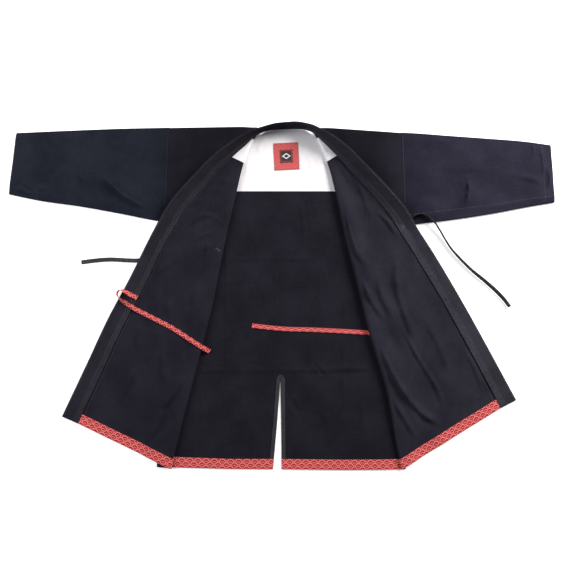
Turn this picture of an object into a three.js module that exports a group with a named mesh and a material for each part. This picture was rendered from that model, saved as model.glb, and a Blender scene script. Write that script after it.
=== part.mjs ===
// A kendo jacket laid out on its back with both fronts turned open, in millimetres.
// +X is to the right of the picture, +Y runs from the hem to the neck and +Z is up.
// The origin is on the centre line, on the underside of the back panel.
// Each half of the jacket is worked out in (out, up, height), where out is the
// distance from the centre line, and is then set to the left or to the right.
import * as THREE from "three";

const { clamp, lerp, smoothstep } = THREE.MathUtils;

// Cloths and seams
const CLOTH = 1.6;
const LINING = 1.0;
const TRIM = 1.2;
const LABEL = 0.8;
const SEAM_GAP = 0.4;
const LAID_GAP = 0.35;

// The body
const HEM_UP = -467;
const SHOULDER_ROLL = 5;
const SLEEVE_SEAM_OUT = 333;
const FRONT_CLEARANCE = 4.4;
const OPENED_CLEARANCE = 6.8;
const DROP_START = 4;
const DROP_LENGTH = 46;
const ROLL_FADE = 52;
const SEAM_FLATTEN = 48;
const DIP_POWER = 24;
const NECK_SLANT = 0.16;

// The collar band and its sewn-down strip
const COLLAR_WIDTH = 47;
const COLLAR_THICK = 3.6;
const STRIP_WIDTH = 17;
const STRIP_THICK = 4.8;

// Hem trims, vent and ties
const TRIM_WIDTH = 26;
const VENT_FACING = 10;
const TIE_WIDTH = 12;
const TIE_THICK = 1.6;

// Rows with named columns, such as table("out up", [0, 1], [2, 3]).
function table(columns, ...values) {
  const names = columns.split(" ");
  return values.map((row) => Object.fromEntries(names.map((name, i) => [name, row[i]])));
}

const NECK_LEFT = table(
  "out up lift tilt",
  [0, 480.2, 0.8, 95],
  [30, 478.8, 1.1, 98],
  [56, 474.0, 1.6, 101],
  [75, 464.6, 5.8, 100],
  [93, 448.6, 9.6, 91],
  [113, 427.6, 10.0, 78],
  [150, 392.6, 8.8, 65],
  [193, 350, 7.6, 57],
  [230, 301, 6.9, 46],
  [279, 234, 6.8, 30],
  [327, 144, 0, 12],
  [386, 13, 0, 2],
  [435, -88, 0, 0],
  [482, -203, 0, 0],
  [543, -351, 0, 0],
);

const NECK_RIGHT = table(
  "out up lift tilt",
  [0, 480.2, 0.8, 95],
  [34, 480.8, 0.9, 94],
  [60, 477.6, 1.6, 96],
  [78, 468.6, 5.8, 94],
  [93, 453.6, 9.6, 87],
  [112, 432.6, 10.0, 74],
  [152, 389, 8.6, 55],
  [207, 323, 7.2, 41],
  [262, 258, 6.8, 34],
  [300, 205, 6.8, 24],
  [327, 156, 0, 14],
  [366, 91, 0, 5],
  [446, -57, 0, 0],
  [497, -160, 0, 0],
  [570, -311, 0, 0],
);

// Where each front is folded back on itself, from the neck to the hem.
const FOLD_LEFT = table(
  "out up roll",
  [96, 438, 2.0],
  [117, 372, 3.2],
  [136, 285, 4.6],
  [170, 116, 4.4],
  [198, -46, 3.8],
  [222, -154, 3.6],
  [252, -279, 4.2],
  [293, -465, 3.2],
);

const FOLD_RIGHT = table(
  "out up roll",
  [94, 441, 2.0],
  [121, 365, 4.0],
  [141, 281, 6.0],
  [164, 162, 6.4],
  [193, 32, 6.6],
  [226, -113, 6.4],
  [269, -270, 5.2],
  [292, -414, 2.8],
  [303, -466, 1.4],
);

// The sleeve's lower and upper edge, its height as it lies, and how far its end slants.
const SLEEVE_LEFT = table(
  "out lower upper height slant",
  [SLEEVE_SEAM_OUT, 197, 480, 4.6, 0],
  [364, 202, 479, 5.6, 0],
  [463, 222, 476.5, 6.6, 0],
  [577, 243, 472, 6.8, 1],
  [691, 260, 467, 6.6, 3],
  [774, 278, 463, 6.4, 6],
);

const SLEEVE_RIGHT = table(
  "out lower upper height slant",
  [SLEEVE_SEAM_OUT, 187, 465, 4.6, 0],
  [366, 191, 463, 5.6, 0],
  [463, 203, 455, 6.6, 0],
  [577, 221, 446, 6.8, 0],
  [691, 243, 436, 6.6, 0],
  [757, 254, 426, 6.4, -2],
);

// The largest soft ridges on each opened front and each sleeve.
const RIDGES_LEFT = table(
  "fromOut fromUp toOut toUp height width",
  [190, 262, 268, 205, 5, 20],
  [196, 205, 262, 150, 4, 18],
  [300, -250, 352, -372, 3.5, 20],
  [262, -180, 300, -330, 3, 18],
);

const RIDGES_RIGHT = table(
  "fromOut fromUp toOut toUp height width",
  [172, 250, 232, 20, 8, 26],
  [232, 60, 322, -150, 6, 24],
  [250, -120, 344, -330, 9, 26],
  [286, 120, 350, -60, 4, 24],
  [322, -330, 420, -404, 3, 24],
);

const SLEEVE_RIDGES_LEFT = table(
  "fromOut fromUp toOut toUp height width",
  [520, 330, 392, 250, 4.5, 17],
  [690, 420, 676, 330, 2.5, 20],
  [752, 330, 700, 282, 3, 18],
);

const SLEEVE_RIDGES_RIGHT = table(
  "fromOut fromUp toOut toUp height width",
  [516, 322, 500, 240, 4, 16],
  [690, 420, 712, 330, 3, 20],
  [560, 270, 420, 222, 3.5, 22],
);

// Each tie's route: its place, and the turn of its width from lying flat, in degrees.
const TIE_ROUTES = {
  tie_outer_left: table(
    "x y z turn",
    [-186, 115, 7.6, 0],
    [-230, 110, 7.6, 0],
    [-290, 102, 7.6, 0],
    [-330, 97, 7.4, 0],
    [-350, 94, 5.6, 0],
    [-368, 91, 2.7, 0],
    [-386, 89, 1.2, 0],
    [-412, 88, 1.15, 0],
    [-442, 89, 1.15, 0],
    [-484, 91, 1.15, 0],
    [-525, 88, 1.15, 0],
    [-562, 83, 1.15, 0],
  ),
  tie_outer_right: table(
    "x y z turn",
    [353, 208, 14.4, 86],
    [363, 214, 14.4, 88],
    [378, 217.5, 14.0, 90],
    [395, 212, 13.8, 90],
    [411, 199, 13.2, 90],
    [427, 176, 10.2, 90],
    [442, 149, 7.4, 90],
    [458, 122, 6.6, 88],
    [482, 92, 6.5, 80],
    [512, 60, 6.4, 72],
    [546, 30, 6.1, 62],
    [579, -2, 5.9, 56],
    [597, -23, 6.0, 60],
    [610, -42, 6.2, 66],
  ),
  tie_inner_left: table(
    "x y z turn",
    [-402, -18, 6.6, 0],
    [-420, -9, 7.4, 10],
    [-436, 0, 9.6, 42],
    [-447, 4, 10.6, 76],
    [-454, 0, 10.6, 90],
    [-456, -9, 10.6, 90],
    [-451, -18, 10.4, 76],
    [-440, -27, 9.6, 44],
    [-424, -37, 8.0, 14],
    [-404, -49, 5.6, 0],
    [-386, -58, 4.6, 0],
    [-366, -68, 6.2, 0],
    [-338, -82, 9.8, 0],
    [-300, -102, 10.3, 0],
    [-270, -121, 11.2, 0],
    [-248, -135, 13.6, 0],
    [-234, -144, 15.0, 0],
    [-223, -151, 14.4, 0],
    [-212, -157, 11.2, 0],
    [-201, -163, 6.0, 0],
  ),
  tie_inner_right: table(
    "x y z turn",
    [312, -115, 2.9, 0],
    [270, -114, 2.9, 0],
    [227, -112, 2.9, 0],
    [189, -110, 2.9, 0],
    [135, -107, 2.9, 0],
    [68, -104, 2.9, 0],
    [0, -102, 2.9, 0],
    [-54, -97, 2.9, 0],
    [-89, -93, 2.9, 0],
  ),
};

const INK = { color: 0x17161c, roughness: 0.9, metalness: 0 };
const TAPE = { color: 0x241f22, roughness: 0.88, metalness: 0 };
const WHITE = { color: 0xe9e6e6, roughness: 0.85, metalness: 0 };
const RED = { color: 0xc23a44, roughness: 0.8, metalness: 0 };

// A smooth line through a table's rows, read by the distance run along it.
function lineThrough(rows, measured = ["out", "up"]) {
  const at = [0];
  for (let i = 1; i < rows.length; i++) {
    at.push(at[i - 1] + Math.hypot(...measured.map((name) => rows[i][name] - rows[i - 1][name])));
  }
  const rise = (i, name) => (rows[i + 1][name] - rows[i][name]) / (at[i + 1] - at[i]);
  const slope = (i, name) => {
    if (i === 0) return rise(0, name);
    if (i === rows.length - 1) return rise(i - 1, name);
    const before = at[i] - at[i - 1];
    const after = at[i + 1] - at[i];
    return (rise(i - 1, name) * after + rise(i, name) * before) / (before + after);
  };
  const read = (distance) => {
    const d = clamp(distance, 0, at.at(-1));
    const i = Math.max(1, at.findIndex((a) => a >= d - 1e-9));
    const span = at[i] - at[i - 1];
    const t = (d - at[i - 1]) / span;
    const point = {};
    for (const name of Object.keys(rows[0])) {
      const a = rows[i - 1][name];
      const b = rows[i][name];
      const steps = [slope(i - 1, name) * span, slope(i, name) * span];
      point[name] =
        a * (1 + 2 * t) * (1 - t) ** 2 +
        b * (3 - 2 * t) * t ** 2 +
        steps[0] * t * (1 - t) ** 2 -
        steps[1] * t ** 2 * (1 - t);
    }
    return point;
  };
  return { length: at.at(-1), read, at };
}

// The height that a table of soft ridges adds at a point.
function ridgeHeight(ridges, out, up) {
  let height = 0;
  for (const r of ridges) {
    const runOut = r.toOut - r.fromOut;
    const runUp = r.toUp - r.fromUp;
    const length = Math.hypot(runOut, runUp);
    const share = ((out - r.fromOut) * runOut + (up - r.fromUp) * runUp) / length ** 2;
    const away = Math.abs((out - r.fromOut) * runUp - (up - r.fromUp) * runOut) / length;
    const ends = smoothstep(share, -0.25, 0.3) * (1 - smoothstep(share, 0.7, 1.25));
    height += r.height * ends * Math.exp(-((away / r.width) ** 2));
  }
  return height;
}

const LEFT = {
  name: "left",
  sign: -1,
  collar: lineThrough(NECK_LEFT),
  fold: lineThrough(FOLD_LEFT),
  sleeve: SLEEVE_LEFT,
  ridges: RIDGES_LEFT,
  sleeveRidges: SLEEVE_RIDGES_LEFT,
  edge: { topUp: 480, hemOut: 331, hemUp: -461 },
  shoulderRise: 3,
  mounds: table("fromOut fromUp toOut toUp height width", [180, 116, 480, 86, 3, 50]),
  tieUnder: [],
};

const RIGHT = {
  name: "right",
  sign: 1,
  collar: lineThrough(NECK_RIGHT),
  fold: lineThrough(FOLD_RIGHT),
  sleeve: SLEEVE_RIGHT,
  ridges: RIDGES_RIGHT,
  sleeveRidges: SLEEVE_RIDGES_RIGHT,
  edge: { topUp: 465, hemOut: 313, hemUp: -467 },
  shoulderRise: 17,
  mounds: [],
  tieUnder: table("fromOut fromUp toOut toUp height width", [260, -115, 340, -115, 2, 64]),
};

// How far down the collar line the front panel starts.
const FRONT_START = 118;

// The sleeve seam and the side seam, from the shoulder to the hem.
function sideOut(side, up) {
  const underarm = side.sleeve[0].lower;
  const t = clamp((underarm - up) / (underarm - side.edge.hemUp), 0, 1);
  return lerp(SLEEVE_SEAM_OUT, side.edge.hemOut, t);
}

// The sleeve's lower edge at a distance from the centre line.
function sleeveLower(side, out) {
  const rows = side.sleeve;
  const i = clamp(rows.findIndex((row) => row.out >= out), 1, rows.length - 1);
  const t = (out - rows[i - 1].out) / (rows[i].out - rows[i - 1].out);
  return lerp(rows[i - 1].lower, rows[i].lower, t);
}

// The height that an opened front's underside rests at: on the body or the sleeve, or past them.
function restHeight(side, out, up) {
  const past = Math.max(0, Math.min(out - sideOut(side, up), sleeveLower(side, out) - up));
  const covered = 1 - smoothstep(past, DROP_START, DROP_START + DROP_LENGTH);
  return OPENED_CLEARANCE * covered + ridgeHeight(side.mounds, out, up);
}

// The shoulder line just before it turns down, at a share of its way from sleeve to neck.
function shoulderUp(side, share) {
  return side.edge.topUp + side.shoulderRise * share - CLOTH / 2 - SHOULDER_ROLL;
}

// How far below the shoulder line the front's first row runs, to reach the top of its fold.
function shoulderDip(side, share) {
  return (shoulderUp(side, 1) - side.fold.read(0).up) * share ** DIP_POWER;
}

// The middle of the front's cloth. Column 0 to 1 lies on the back, 1 to 2 is the fold's
// roll and 2 to 3 is the opened part. Row 0 to 1 runs from the shoulder to the hem, and
// row -1 to 0 turns down over the shoulder.
function frontMiddle(side, column, row) {
  const v = Math.max(row, 0);
  const edgeUp = lerp(side.edge.topUp, side.edge.hemUp, v);
  const edge = { out: sideOut(side, edgeUp), up: edgeUp };
  const fold = side.fold.read(v * side.fold.length);
  const ahead = side.fold.read(Math.min(v * side.fold.length + 1, side.fold.length));
  const behind = side.fold.read(Math.max(v * side.fold.length - 1, 0));
  const run = Math.hypot(ahead.out - behind.out, ahead.up - behind.up);
  const inward = { out: (ahead.up - behind.up) / run, up: -(ahead.out - behind.out) / run };
  const turn = fold.roll + CLOTH / 2;
  const start = { out: fold.out - inward.out * turn, up: fold.up - inward.up * turn };
  const underArm = side.sleeve[0].lower;
  const level = FRONT_CLEARANCE + CLOTH / 2;

  if (column <= 1) {
    const point = { out: lerp(edge.out, start.out, column), up: lerp(edge.up, start.up, column) };
    const dip = shoulderDip(side, column);
    const topRow = shoulderUp(side, column) - dip;
    const bow = topRow - lerp(side.edge.topUp, side.fold.read(0).up, column);
    point.up += bow * (1 - smoothstep(v, 0, 0.16)) + dip * Math.max(-row, 0);
    point.out -= NECK_SLANT * dip * Math.max(-row, 0);
    const seamLevel = CLOTH + LAID_GAP + lerp(0, 1.05, smoothstep(point.up, underArm - 30, underArm));
    const tieLift = ridgeHeight(side.tieUnder, point.out, point.up);
    const inside = smoothstep(column * (edge.out - start.out), 0, SEAM_FLATTEN);
    let height = lerp(seamLevel + tieLift + CLOTH / 2, level, inside);
    const turned = (1 + Math.min(row, 0)) * Math.PI / 2;
    const kept = 1 - smoothstep(column, 0.84, 0.96);
    point.up += lerp(1.2, SHOULDER_ROLL, kept) * Math.cos(turned);
    height = lerp(height, height * Math.sin(turned), kept);
    return new THREE.Vector3(point.out, point.up, height);
  }
  const wrapUp = 1.2 * Math.cos((1 + Math.min(row, 0)) * Math.PI / 2);
  if (column <= 2) {
    const angle = (column - 1) * Math.PI;
    const reach = fold.roll * Math.sin(angle);
    return new THREE.Vector3(
      start.out + inward.out * reach,
      start.up + inward.up * reach + wrapUp,
      level + fold.roll * (1 - Math.cos(angle)),
    );
  }
  const share = column - 2;
  const seam = collarFrame(side, lerp(FRONT_START, side.collar.length, v));
  const back = SEAM_GAP + STRIP_THICK * Math.sin(seam.tilt);
  const end = { out: seam.out - seam.across.out * back, up: seam.up - seam.across.up * back };
  const out = lerp(start.out, end.out, share);
  const up = lerp(start.up, end.up, share);
  const distance = Math.hypot(out - start.out, up - start.up);
  const raised = level + 2 * fold.roll - CLOTH / 2 - restHeight(side, start.out, start.up);
  const window = smoothstep(share, 0, 0.2) * (1 - smoothstep(share, 0.8, 1));
  const height =
    restHeight(side, out, up) +
    CLOTH / 2 +
    Math.max(raised, 0) * (1 - smoothstep(distance, 0, ROLL_FADE)) +
    ridgeHeight(side.ridges, out, up) * window;
  return new THREE.Vector3(out, up + wrapUp, height);
}

// The collar line's place, its direction across and its tilt, at a distance from the neck's middle.
function collarFrame(side, distance) {
  const here = side.collar.read(distance);
  const ahead = side.collar.read(distance + 2);
  const behind = side.collar.read(distance - 2);
  const run = Math.hypot(ahead.out - behind.out, ahead.up - behind.up);
  const across = { out: -(ahead.up - behind.up) / run, up: (ahead.out - behind.out) / run };
  return { ...here, across, tilt: THREE.MathUtils.degToRad(clamp(here.tilt, 0, 110)) };
}

// A point of the front moved off the middle of its cloth, upwards on the opened part.
function frontPoint(side, column, row, offset) {
  const step = 0.004;
  const at = (c, r) => frontMiddle(side, clamp(c, 0, 3), clamp(r, -1, 1));
  const acrossCloth = at(column + step, row).sub(at(column - step, row));
  const downCloth = at(column, row + step).sub(at(column, row - step));
  const normal = downCloth.cross(acrossCloth).normalize();
  const point = at(column, row).addScaledVector(normal, offset);
  point.z = Math.max(point.z, 0);
  return point;
}

// Turns grids of points into one closed body: two faces and the edges between them.
function wall(face, back, ring = false) {
  const rows = face.length;
  const columns = face[0].length;
  const points = [...face.flat(), ...back.flat()];
  const index = (layer, row, column) => layer * rows * columns + row * columns + (column % columns);
  const triangles = [];
  const quad = (a, b, c, d) => triangles.push(a, b, c, a, c, d);
  const lastColumn = ring ? columns : columns - 1;
  for (let r = 0; r < rows - 1; r++) {
    for (let c = 0; c < lastColumn; c++) {
      quad(index(0, r, c), index(0, r + 1, c), index(0, r + 1, c + 1), index(0, r, c + 1));
      quad(index(1, r, c), index(1, r, c + 1), index(1, r + 1, c + 1), index(1, r + 1, c));
    }
  }
  for (let c = 0; c < lastColumn; c++) {
    quad(index(0, 0, c), index(0, 0, c + 1), index(1, 0, c + 1), index(1, 0, c));
    const r = rows - 1;
    quad(index(0, r, c), index(1, r, c), index(1, r, c + 1), index(0, r, c + 1));
  }
  if (!ring) {
    for (let r = 0; r < rows - 1; r++) {
      quad(index(0, r, 0), index(1, r, 0), index(1, r + 1, 0), index(0, r + 1, 0));
      const c = columns - 1;
      quad(index(0, r, c), index(0, r + 1, c), index(1, r + 1, c), index(1, r, c));
    }
  }
  return solid(points, triangles);
}

// A body lofted through sections that are all cut from one outline.
function loft(sections, outline) {
  const points = sections.flat();
  const size = outline.length;
  const triangles = [];
  for (let s = 0; s < sections.length - 1; s++) {
    for (let i = 0; i < size; i++) {
      const next = (i + 1) % size;
      const a = s * size + i;
      const b = s * size + next;
      triangles.push(a, b, b + size, a, b + size, a + size);
    }
  }
  const last = (sections.length - 1) * size;
  for (const [a, b, c] of THREE.ShapeUtils.triangulateShape(outline, [])) {
    triangles.push(c, b, a, last + a, last + b, last + c);
  }
  return solid(points, triangles);
}

// A closed geometry with its faces pointing out.
function solid(points, triangles) {
  let volume = 0;
  for (let i = 0; i < triangles.length; i += 3) {
    const [a, b, c] = [0, 1, 2].map((k) => points[triangles[i + k]]);
    volume += a.dot(b.clone().cross(c));
  }
  const faces = volume < 0 ? triangles.toReversed() : triangles;
  const geometry = new THREE.BufferGeometry().setFromPoints(points);
  geometry.setIndex(faces);
  geometry.computeVertexNormals();
  return geometry;
}

// A flat piece of cloth, cut to an outline of [x, y] points and laid at a height.
function flatPiece(outline, bottom, thickness) {
  const shape = new THREE.Shape(outline.map(([x, y]) => new THREE.Vector2(x, y)));
  const geometry = new THREE.ExtrudeGeometry(shape, { depth: thickness, bevelEnabled: false });
  return geometry.translate(0, 0, bottom);
}

function mesh(name, geometry, finish) {
  const made = new THREE.Mesh(geometry, new THREE.MeshStandardMaterial(finish));
  made.name = name;
  return made;
}

// Sets a point of one half on its own side of the centre line.
function placed(side, point) {
  return new THREE.Vector3(side.sign * point.x, point.y, point.z);
}

// Shares from 0 to 1, closer together at both ends.
function eased(count, pull = 0.5) {
  return Array.from({ length: count + 1 }, (_, i) => {
    const t = i / count;
    return lerp(t, (1 - Math.cos(Math.PI * t)) / 2, pull);
  });
}

const UNDER_COLUMNS = [0, 0.08, 0.22, 0.45, 0.7, 0.86, 0.93, 0.97, 0.988, 1];
const ROLL_COLUMNS = [1.2, 1.4, 1.6, 1.8];
const OPEN_COLUMNS = [2, 2.09, 2.2, 2.32, 2.44, 2.56, 2.68, 2.8, 2.9, 2.97, 3];
const SHOULDER_ROWS = [-1, -0.66, -0.33];
const BODY_ROWS = 22;
const LINING_ON_FRONT = 57;

// The share of the front's rows that lies a given distance above its hem.
function rowAboveHem(side, distance) {
  return 1 - distance / side.fold.length;
}

// The share of the front's rows at which its lining ends.
function liningHem(side) {
  return LINING_ON_FRONT / side.fold.length;
}

function front(side) {
  const body = Array.from({ length: BODY_ROWS }, (_, i) => i / BODY_ROWS);
  const sewn = [liningHem(side), rowAboveHem(side, TRIM_WIDTH)];
  const rows = [...SHOULDER_ROWS, ...body, ...sewn, 1].sort((a, b) => a - b);
  const columns = [...UNDER_COLUMNS, ...ROLL_COLUMNS, ...OPEN_COLUMNS];
  const face = (offset) => rows.map((r) => columns.map((c) => placed(side, frontPoint(side, c, r, offset))));
  return mesh(`front_${side.name}`, wall(face(CLOTH / 2), face(-CLOTH / 2)), INK);
}

// A thinner piece sewn on the opened front, worked out from the front's own points.
function onFront(side, name, columns, rowsAt, thickness, finish) {
  const near = CLOTH / 2 + LAID_GAP;
  const face = (offset) =>
    rowsAt.map((r) => columns.map((c) => placed(side, frontPoint(side, c, r, offset))));
  return mesh(name, wall(face(near + thickness), face(near)), finish);
}

function frontTrim(side) {
  const columns = [1.6, 1.8, ...OPEN_COLUMNS.slice(0, -1)];
  const rowsAt = [rowAboveHem(side, TRIM_WIDTH), 1];
  return onFront(side, `hem_trim_front_${side.name}`, columns, rowsAt, TRIM, RED);
}

function frontLining(side) {
  const columns = [1.6, 1.8, ...OPEN_COLUMNS.slice(0, -1)];
  const rowsAt = [0.015, 1 / BODY_ROWS, liningHem(side)];
  return onFront(side, `lining_front_${side.name}`, columns, rowsAt, LINING, WHITE);
}

// The collar's outline: across from its sewn edge, and up from its outer face.
const COLLAR_OUTLINE = [
  [0, 0],
  [16, 0],
  [31, 0],
  [COLLAR_WIDTH - 1.4, 0],
  [COLLAR_WIDTH, COLLAR_THICK / 2],
  [COLLAR_WIDTH - 1.4, COLLAR_THICK],
  [32, COLLAR_THICK],
  [STRIP_WIDTH + 1.6, COLLAR_THICK],
  [STRIP_WIDTH, STRIP_THICK],
  [0.4, STRIP_THICK],
  [0, STRIP_THICK - 0.6],
].map(([across, up]) => new THREE.Vector2(across, up));

function collar(side) {
  const stations = [];
  const knots = side.collar.at;
  for (let i = 1; i < knots.length; i++) {
    const steps = Math.max(2, Math.round((knots[i] - knots[i - 1]) / 30));
    for (let k = 0; k < steps; k++) stations.push(lerp(knots[i - 1], knots[i], k / steps));
  }
  stations.push(side.collar.length);
  stations[0] = SEAM_GAP / 2;
  const sections = stations.map((distance) => {
    const frame = collarFrame(side, distance);
    const { across, tilt } = frame;
    return COLLAR_OUTLINE.map(({ x: reach, y: thick }) => {
      const plan = reach * Math.cos(tilt) - thick * Math.sin(tilt);
      const out = frame.out + across.out * plan;
      const up = frame.up + across.up * plan;
      const foot = { out: frame.out + across.out * reach * Math.cos(tilt) };
      foot.up = frame.up + across.up * reach * Math.cos(tilt);
      const under = Math.max(restHeight(side, foot.out, foot.up), frame.lift + reach * Math.sin(tilt));
      const floor = distance < FRONT_START - 10 ? frame.lift + reach * Math.sin(tilt) : under;
      return placed(side, new THREE.Vector3(out, up, floor + thick * Math.cos(tilt)));
    });
  });
  return mesh(`collar_${side.name}`, loft(sections, COLLAR_OUTLINE), INK);
}

// One loop round the flattened sleeve, from its lower edge along the underside and back on top.
function sleeveLoop(side, station, inset, flats, turns) {
  const { out, lower, upper, height, slant } = station;
  const middle = height / 2;
  const radius = middle - inset;
  const low = lower + middle;
  const high = upper - middle;
  const loop = [];
  const add = (up, z) => {
    const lean = slant * ((up - lower) / (upper - lower) - 0.5);
    loop.push(placed(side, new THREE.Vector3(out - lean, up, z)));
  };
  for (let i = 0; i <= flats; i++) add(lerp(low, high, i / flats), middle - radius);
  for (let i = 1; i < turns; i++) {
    const angle = Math.PI * (i / turns - 0.5);
    add(high + radius * Math.cos(angle), middle + radius * Math.sin(angle));
  }
  for (let i = flats; i >= 0; i--) {
    const up = lerp(low, high, i / flats);
    const room = smoothstep(i, 0, 1.5) * smoothstep(flats - i, 0, 1.5);
    add(up, middle + radius + ridgeHeight(side.sleeveRidges, out, up) * room);
  }
  for (let i = 1; i < turns; i++) {
    const angle = Math.PI * (i / turns + 0.5);
    add(low + radius * Math.cos(angle), middle + radius * Math.sin(angle));
  }
  return loop;
}

function sleeve(side) {
  const line = lineThrough(side.sleeve, ["out"]);
  const shares = eased(13, 0.35);
  const stations = shares.map((share) => line.read(share * line.length));
  stations[0].out += SEAM_GAP;
  const outer = stations.map((station) => sleeveLoop(side, station, 0, 9, 4));
  const inner = stations.map((station) => sleeveLoop(side, station, CLOTH, 9, 4));
  return mesh(`sleeve_${side.name}`, wall(outer, inner, true), INK);
}

// The back panel, cut in one with its neckline and the slit of its vent.
const VENT = { top: -240, middleX: -12, hemLeftX: -30, hemRightX: -8 };
const NECKLINE = [
  [88, 475],
  [77, 459],
  [57, 471.2],
  [34, 475],
  [0, 475.2],
  [-30, 473.4],
  [-54, 468.6],
  [-73, 457],
  [-86, 474],
];

function backPanel() {
  const edge = -SHOULDER_ROLL - 0.6;
  const outline = [
    [-LEFT.edge.hemOut, LEFT.edge.hemUp],
    [-250, -463.5],
    [-140, HEM_UP + 0.6],
    [VENT.hemLeftX, HEM_UP],
    [-20, -352],
    [VENT.middleX, VENT.top],
    [-9.5, -352],
    [VENT.hemRightX, HEM_UP],
    [150, HEM_UP - 2],
    [250, HEM_UP - 1.4],
    [RIGHT.edge.hemOut, RIGHT.edge.hemUp],
    [SLEEVE_SEAM_OUT, RIGHT.sleeve[0].lower],
    [SLEEVE_SEAM_OUT, RIGHT.edge.topUp + edge],
    [200, RIGHT.edge.topUp + RIGHT.shoulderRise * 0.55 + edge],
    ...NECKLINE,
    [-SLEEVE_SEAM_OUT, LEFT.edge.topUp + edge],
    [-SLEEVE_SEAM_OUT, LEFT.sleeve[0].lower],
  ];
  return mesh("back", flatPiece(outline, 0, CLOTH), INK);
}

const ON_BACK = CLOTH + LAID_GAP;

// The white lining across the upper back, cut to the neckline.
const LINING_BACK = { out: 176, bottom: 288 };

function backLining() {
  const { out, bottom } = LINING_BACK;
  const inset = 0.5;
  const outline = [
    [-out, bottom],
    [out, bottom],
    [out, 466],
    [92, 470],
    ...NECKLINE.slice(1, -1).map(([x, y]) => [x, y - inset]),
    [-88, 470],
    [-out, 470],
  ];
  return mesh("lining_back", flatPiece(outline, ON_BACK, LINING), WHITE);
}

// A small oblong turned a little about its middle, as it is sewn on.
function oblong(middleX, middleY, width, height, turn) {
  const angle = THREE.MathUtils.degToRad(turn);
  const corners = [[-1, -1], [1, -1], [1, 1], [-1, 1]];
  return corners.map(([sx, sy]) => {
    const x = (sx * width) / 2;
    const y = (sy * height) / 2;
    return [
      middleX + x * Math.cos(angle) - y * Math.sin(angle),
      middleY + x * Math.sin(angle) + y * Math.cos(angle),
    ];
  });
}

const PATCH = { x: 3, y: 392, width: 71, height: 82, turn: 3 };
const LABEL_SIZE = { width: 35, height: 38 };

function labels() {
  const patchBottom = ON_BACK + LINING + LAID_GAP;
  const labelBottom = patchBottom + LINING + LAID_GAP;
  const patch = oblong(PATCH.x, PATCH.y, PATCH.width, PATCH.height, PATCH.turn);
  const label = oblong(PATCH.x, PATCH.y, LABEL_SIZE.width, LABEL_SIZE.height, PATCH.turn);
  return [
    mesh("neck_patch", flatPiece(patch, patchBottom, LINING), RED),
    mesh("neck_label", flatPiece(label, labelBottom, LABEL), INK),
  ];
}

function backTrims() {
  const top = TRIM_WIDTH;
  const left = [
    [-LEFT.edge.hemOut + 50, -461.8],
    [-140, HEM_UP + 0.8],
    [VENT.hemLeftX - 0.3, HEM_UP + 0.2],
    [VENT.hemLeftX + 1.6, HEM_UP + top],
    [-140, HEM_UP + top],
    [-LEFT.edge.hemOut + 50, -461.8 + top],
  ];
  const right = [
    [VENT.hemRightX + 0.2, HEM_UP + 0.2],
    [150, HEM_UP - 1.8],
    [250, HEM_UP - 1.2],
    [296, HEM_UP],
    [296, HEM_UP + top],
    [250, HEM_UP - 1.2 + top],
    [150, HEM_UP - 1.8 + top],
    [VENT.hemRightX + 0.2, HEM_UP + top],
  ];
  return [
    mesh("hem_trim_back_left", flatPiece(left, ON_BACK, TRIM), RED),
    mesh("hem_trim_back_right", flatPiece(right, ON_BACK, TRIM), RED),
  ];
}

// The tape that faces the vent's two edges, and meets above its end.
function ventFacings() {
  const foot = HEM_UP + TRIM_WIDTH + 0.6;
  const meet = VENT.middleX + 0.9;
  const arch = VENT.top + 16;
  const left = [
    [VENT.middleX - 0.4, VENT.top + 0.4],
    [meet - 0.2, VENT.top + 3],
    [meet - 0.2, arch],
    [meet - 7, arch - 3],
    [meet - VENT_FACING - 1, arch - 12],
    [-30.5, -352],
    [-38.6, foot],
    [-28.6, foot],
    [-20.5, -352],
  ];
  const right = [
    [VENT.middleX + 0.8, VENT.top + 0.4],
    [-9, -352],
    [-7.6, foot],
    [2.4, foot],
    [1.4, -352],
    [0.4, arch - 12],
    [meet + 7, arch - 3],
    [meet + 0.2, arch],
    [meet + 0.2, VENT.top + 3],
  ];
  return [
    mesh("vent_facing_left", flatPiece(left, ON_BACK, LINING), TAPE),
    mesh("vent_facing_right", flatPiece(right, ON_BACK, LINING), TAPE),
  ];
}

// A flat tie's outline, with its corners taken off.
const TIE_OUTLINE = [
  [-6, -0.4],
  [-5.4, -0.8],
  [5.4, -0.8],
  [6, -0.4],
  [6, 0.4],
  [5.4, 0.8],
  [-5.4, 0.8],
  [-6, 0.4],
].map(([x, y]) => new THREE.Vector2((x / 12) * TIE_WIDTH, (y / 1.6) * TIE_THICK));

function tie(name, finish) {
  const line = lineThrough(TIE_ROUTES[name], ["x", "y", "z"]);
  const count = Math.round(line.length / 13);
  const sections = Array.from({ length: count + 1 }, (_, i) => {
    const distance = (line.length * i) / count;
    const here = line.read(distance);
    const ahead = line.read(distance + 1);
    const behind = line.read(distance - 1);
    const along = new THREE.Vector3(ahead.x - behind.x, ahead.y - behind.y, ahead.z - behind.z);
    along.normalize();
    const level = new THREE.Vector3(0, 0, 1).cross(along).normalize();
    const width = level.applyAxisAngle(along, THREE.MathUtils.degToRad(here.turn));
    const normal = along.clone().cross(width);
    return TIE_OUTLINE.map(({ x, y }) =>
      new THREE.Vector3(here.x, here.y, here.z).addScaledVector(width, x).addScaledVector(normal, y),
    );
  });
  return mesh(name, loft(sections, TIE_OUTLINE), finish);
}

const jacket = new THREE.Group();
jacket.add(backPanel(), backLining(), ...labels(), ...backTrims(), ...ventFacings());
for (const side of [LEFT, RIGHT]) {
  jacket.add(front(side), frontTrim(side), frontLining(side), collar(side), sleeve(side));
}
jacket.add(tie("tie_outer_left", INK), tie("tie_outer_right", INK));
jacket.add(tie("tie_inner_left", RED), tie("tie_inner_right", RED));

export default jacket;
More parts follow.
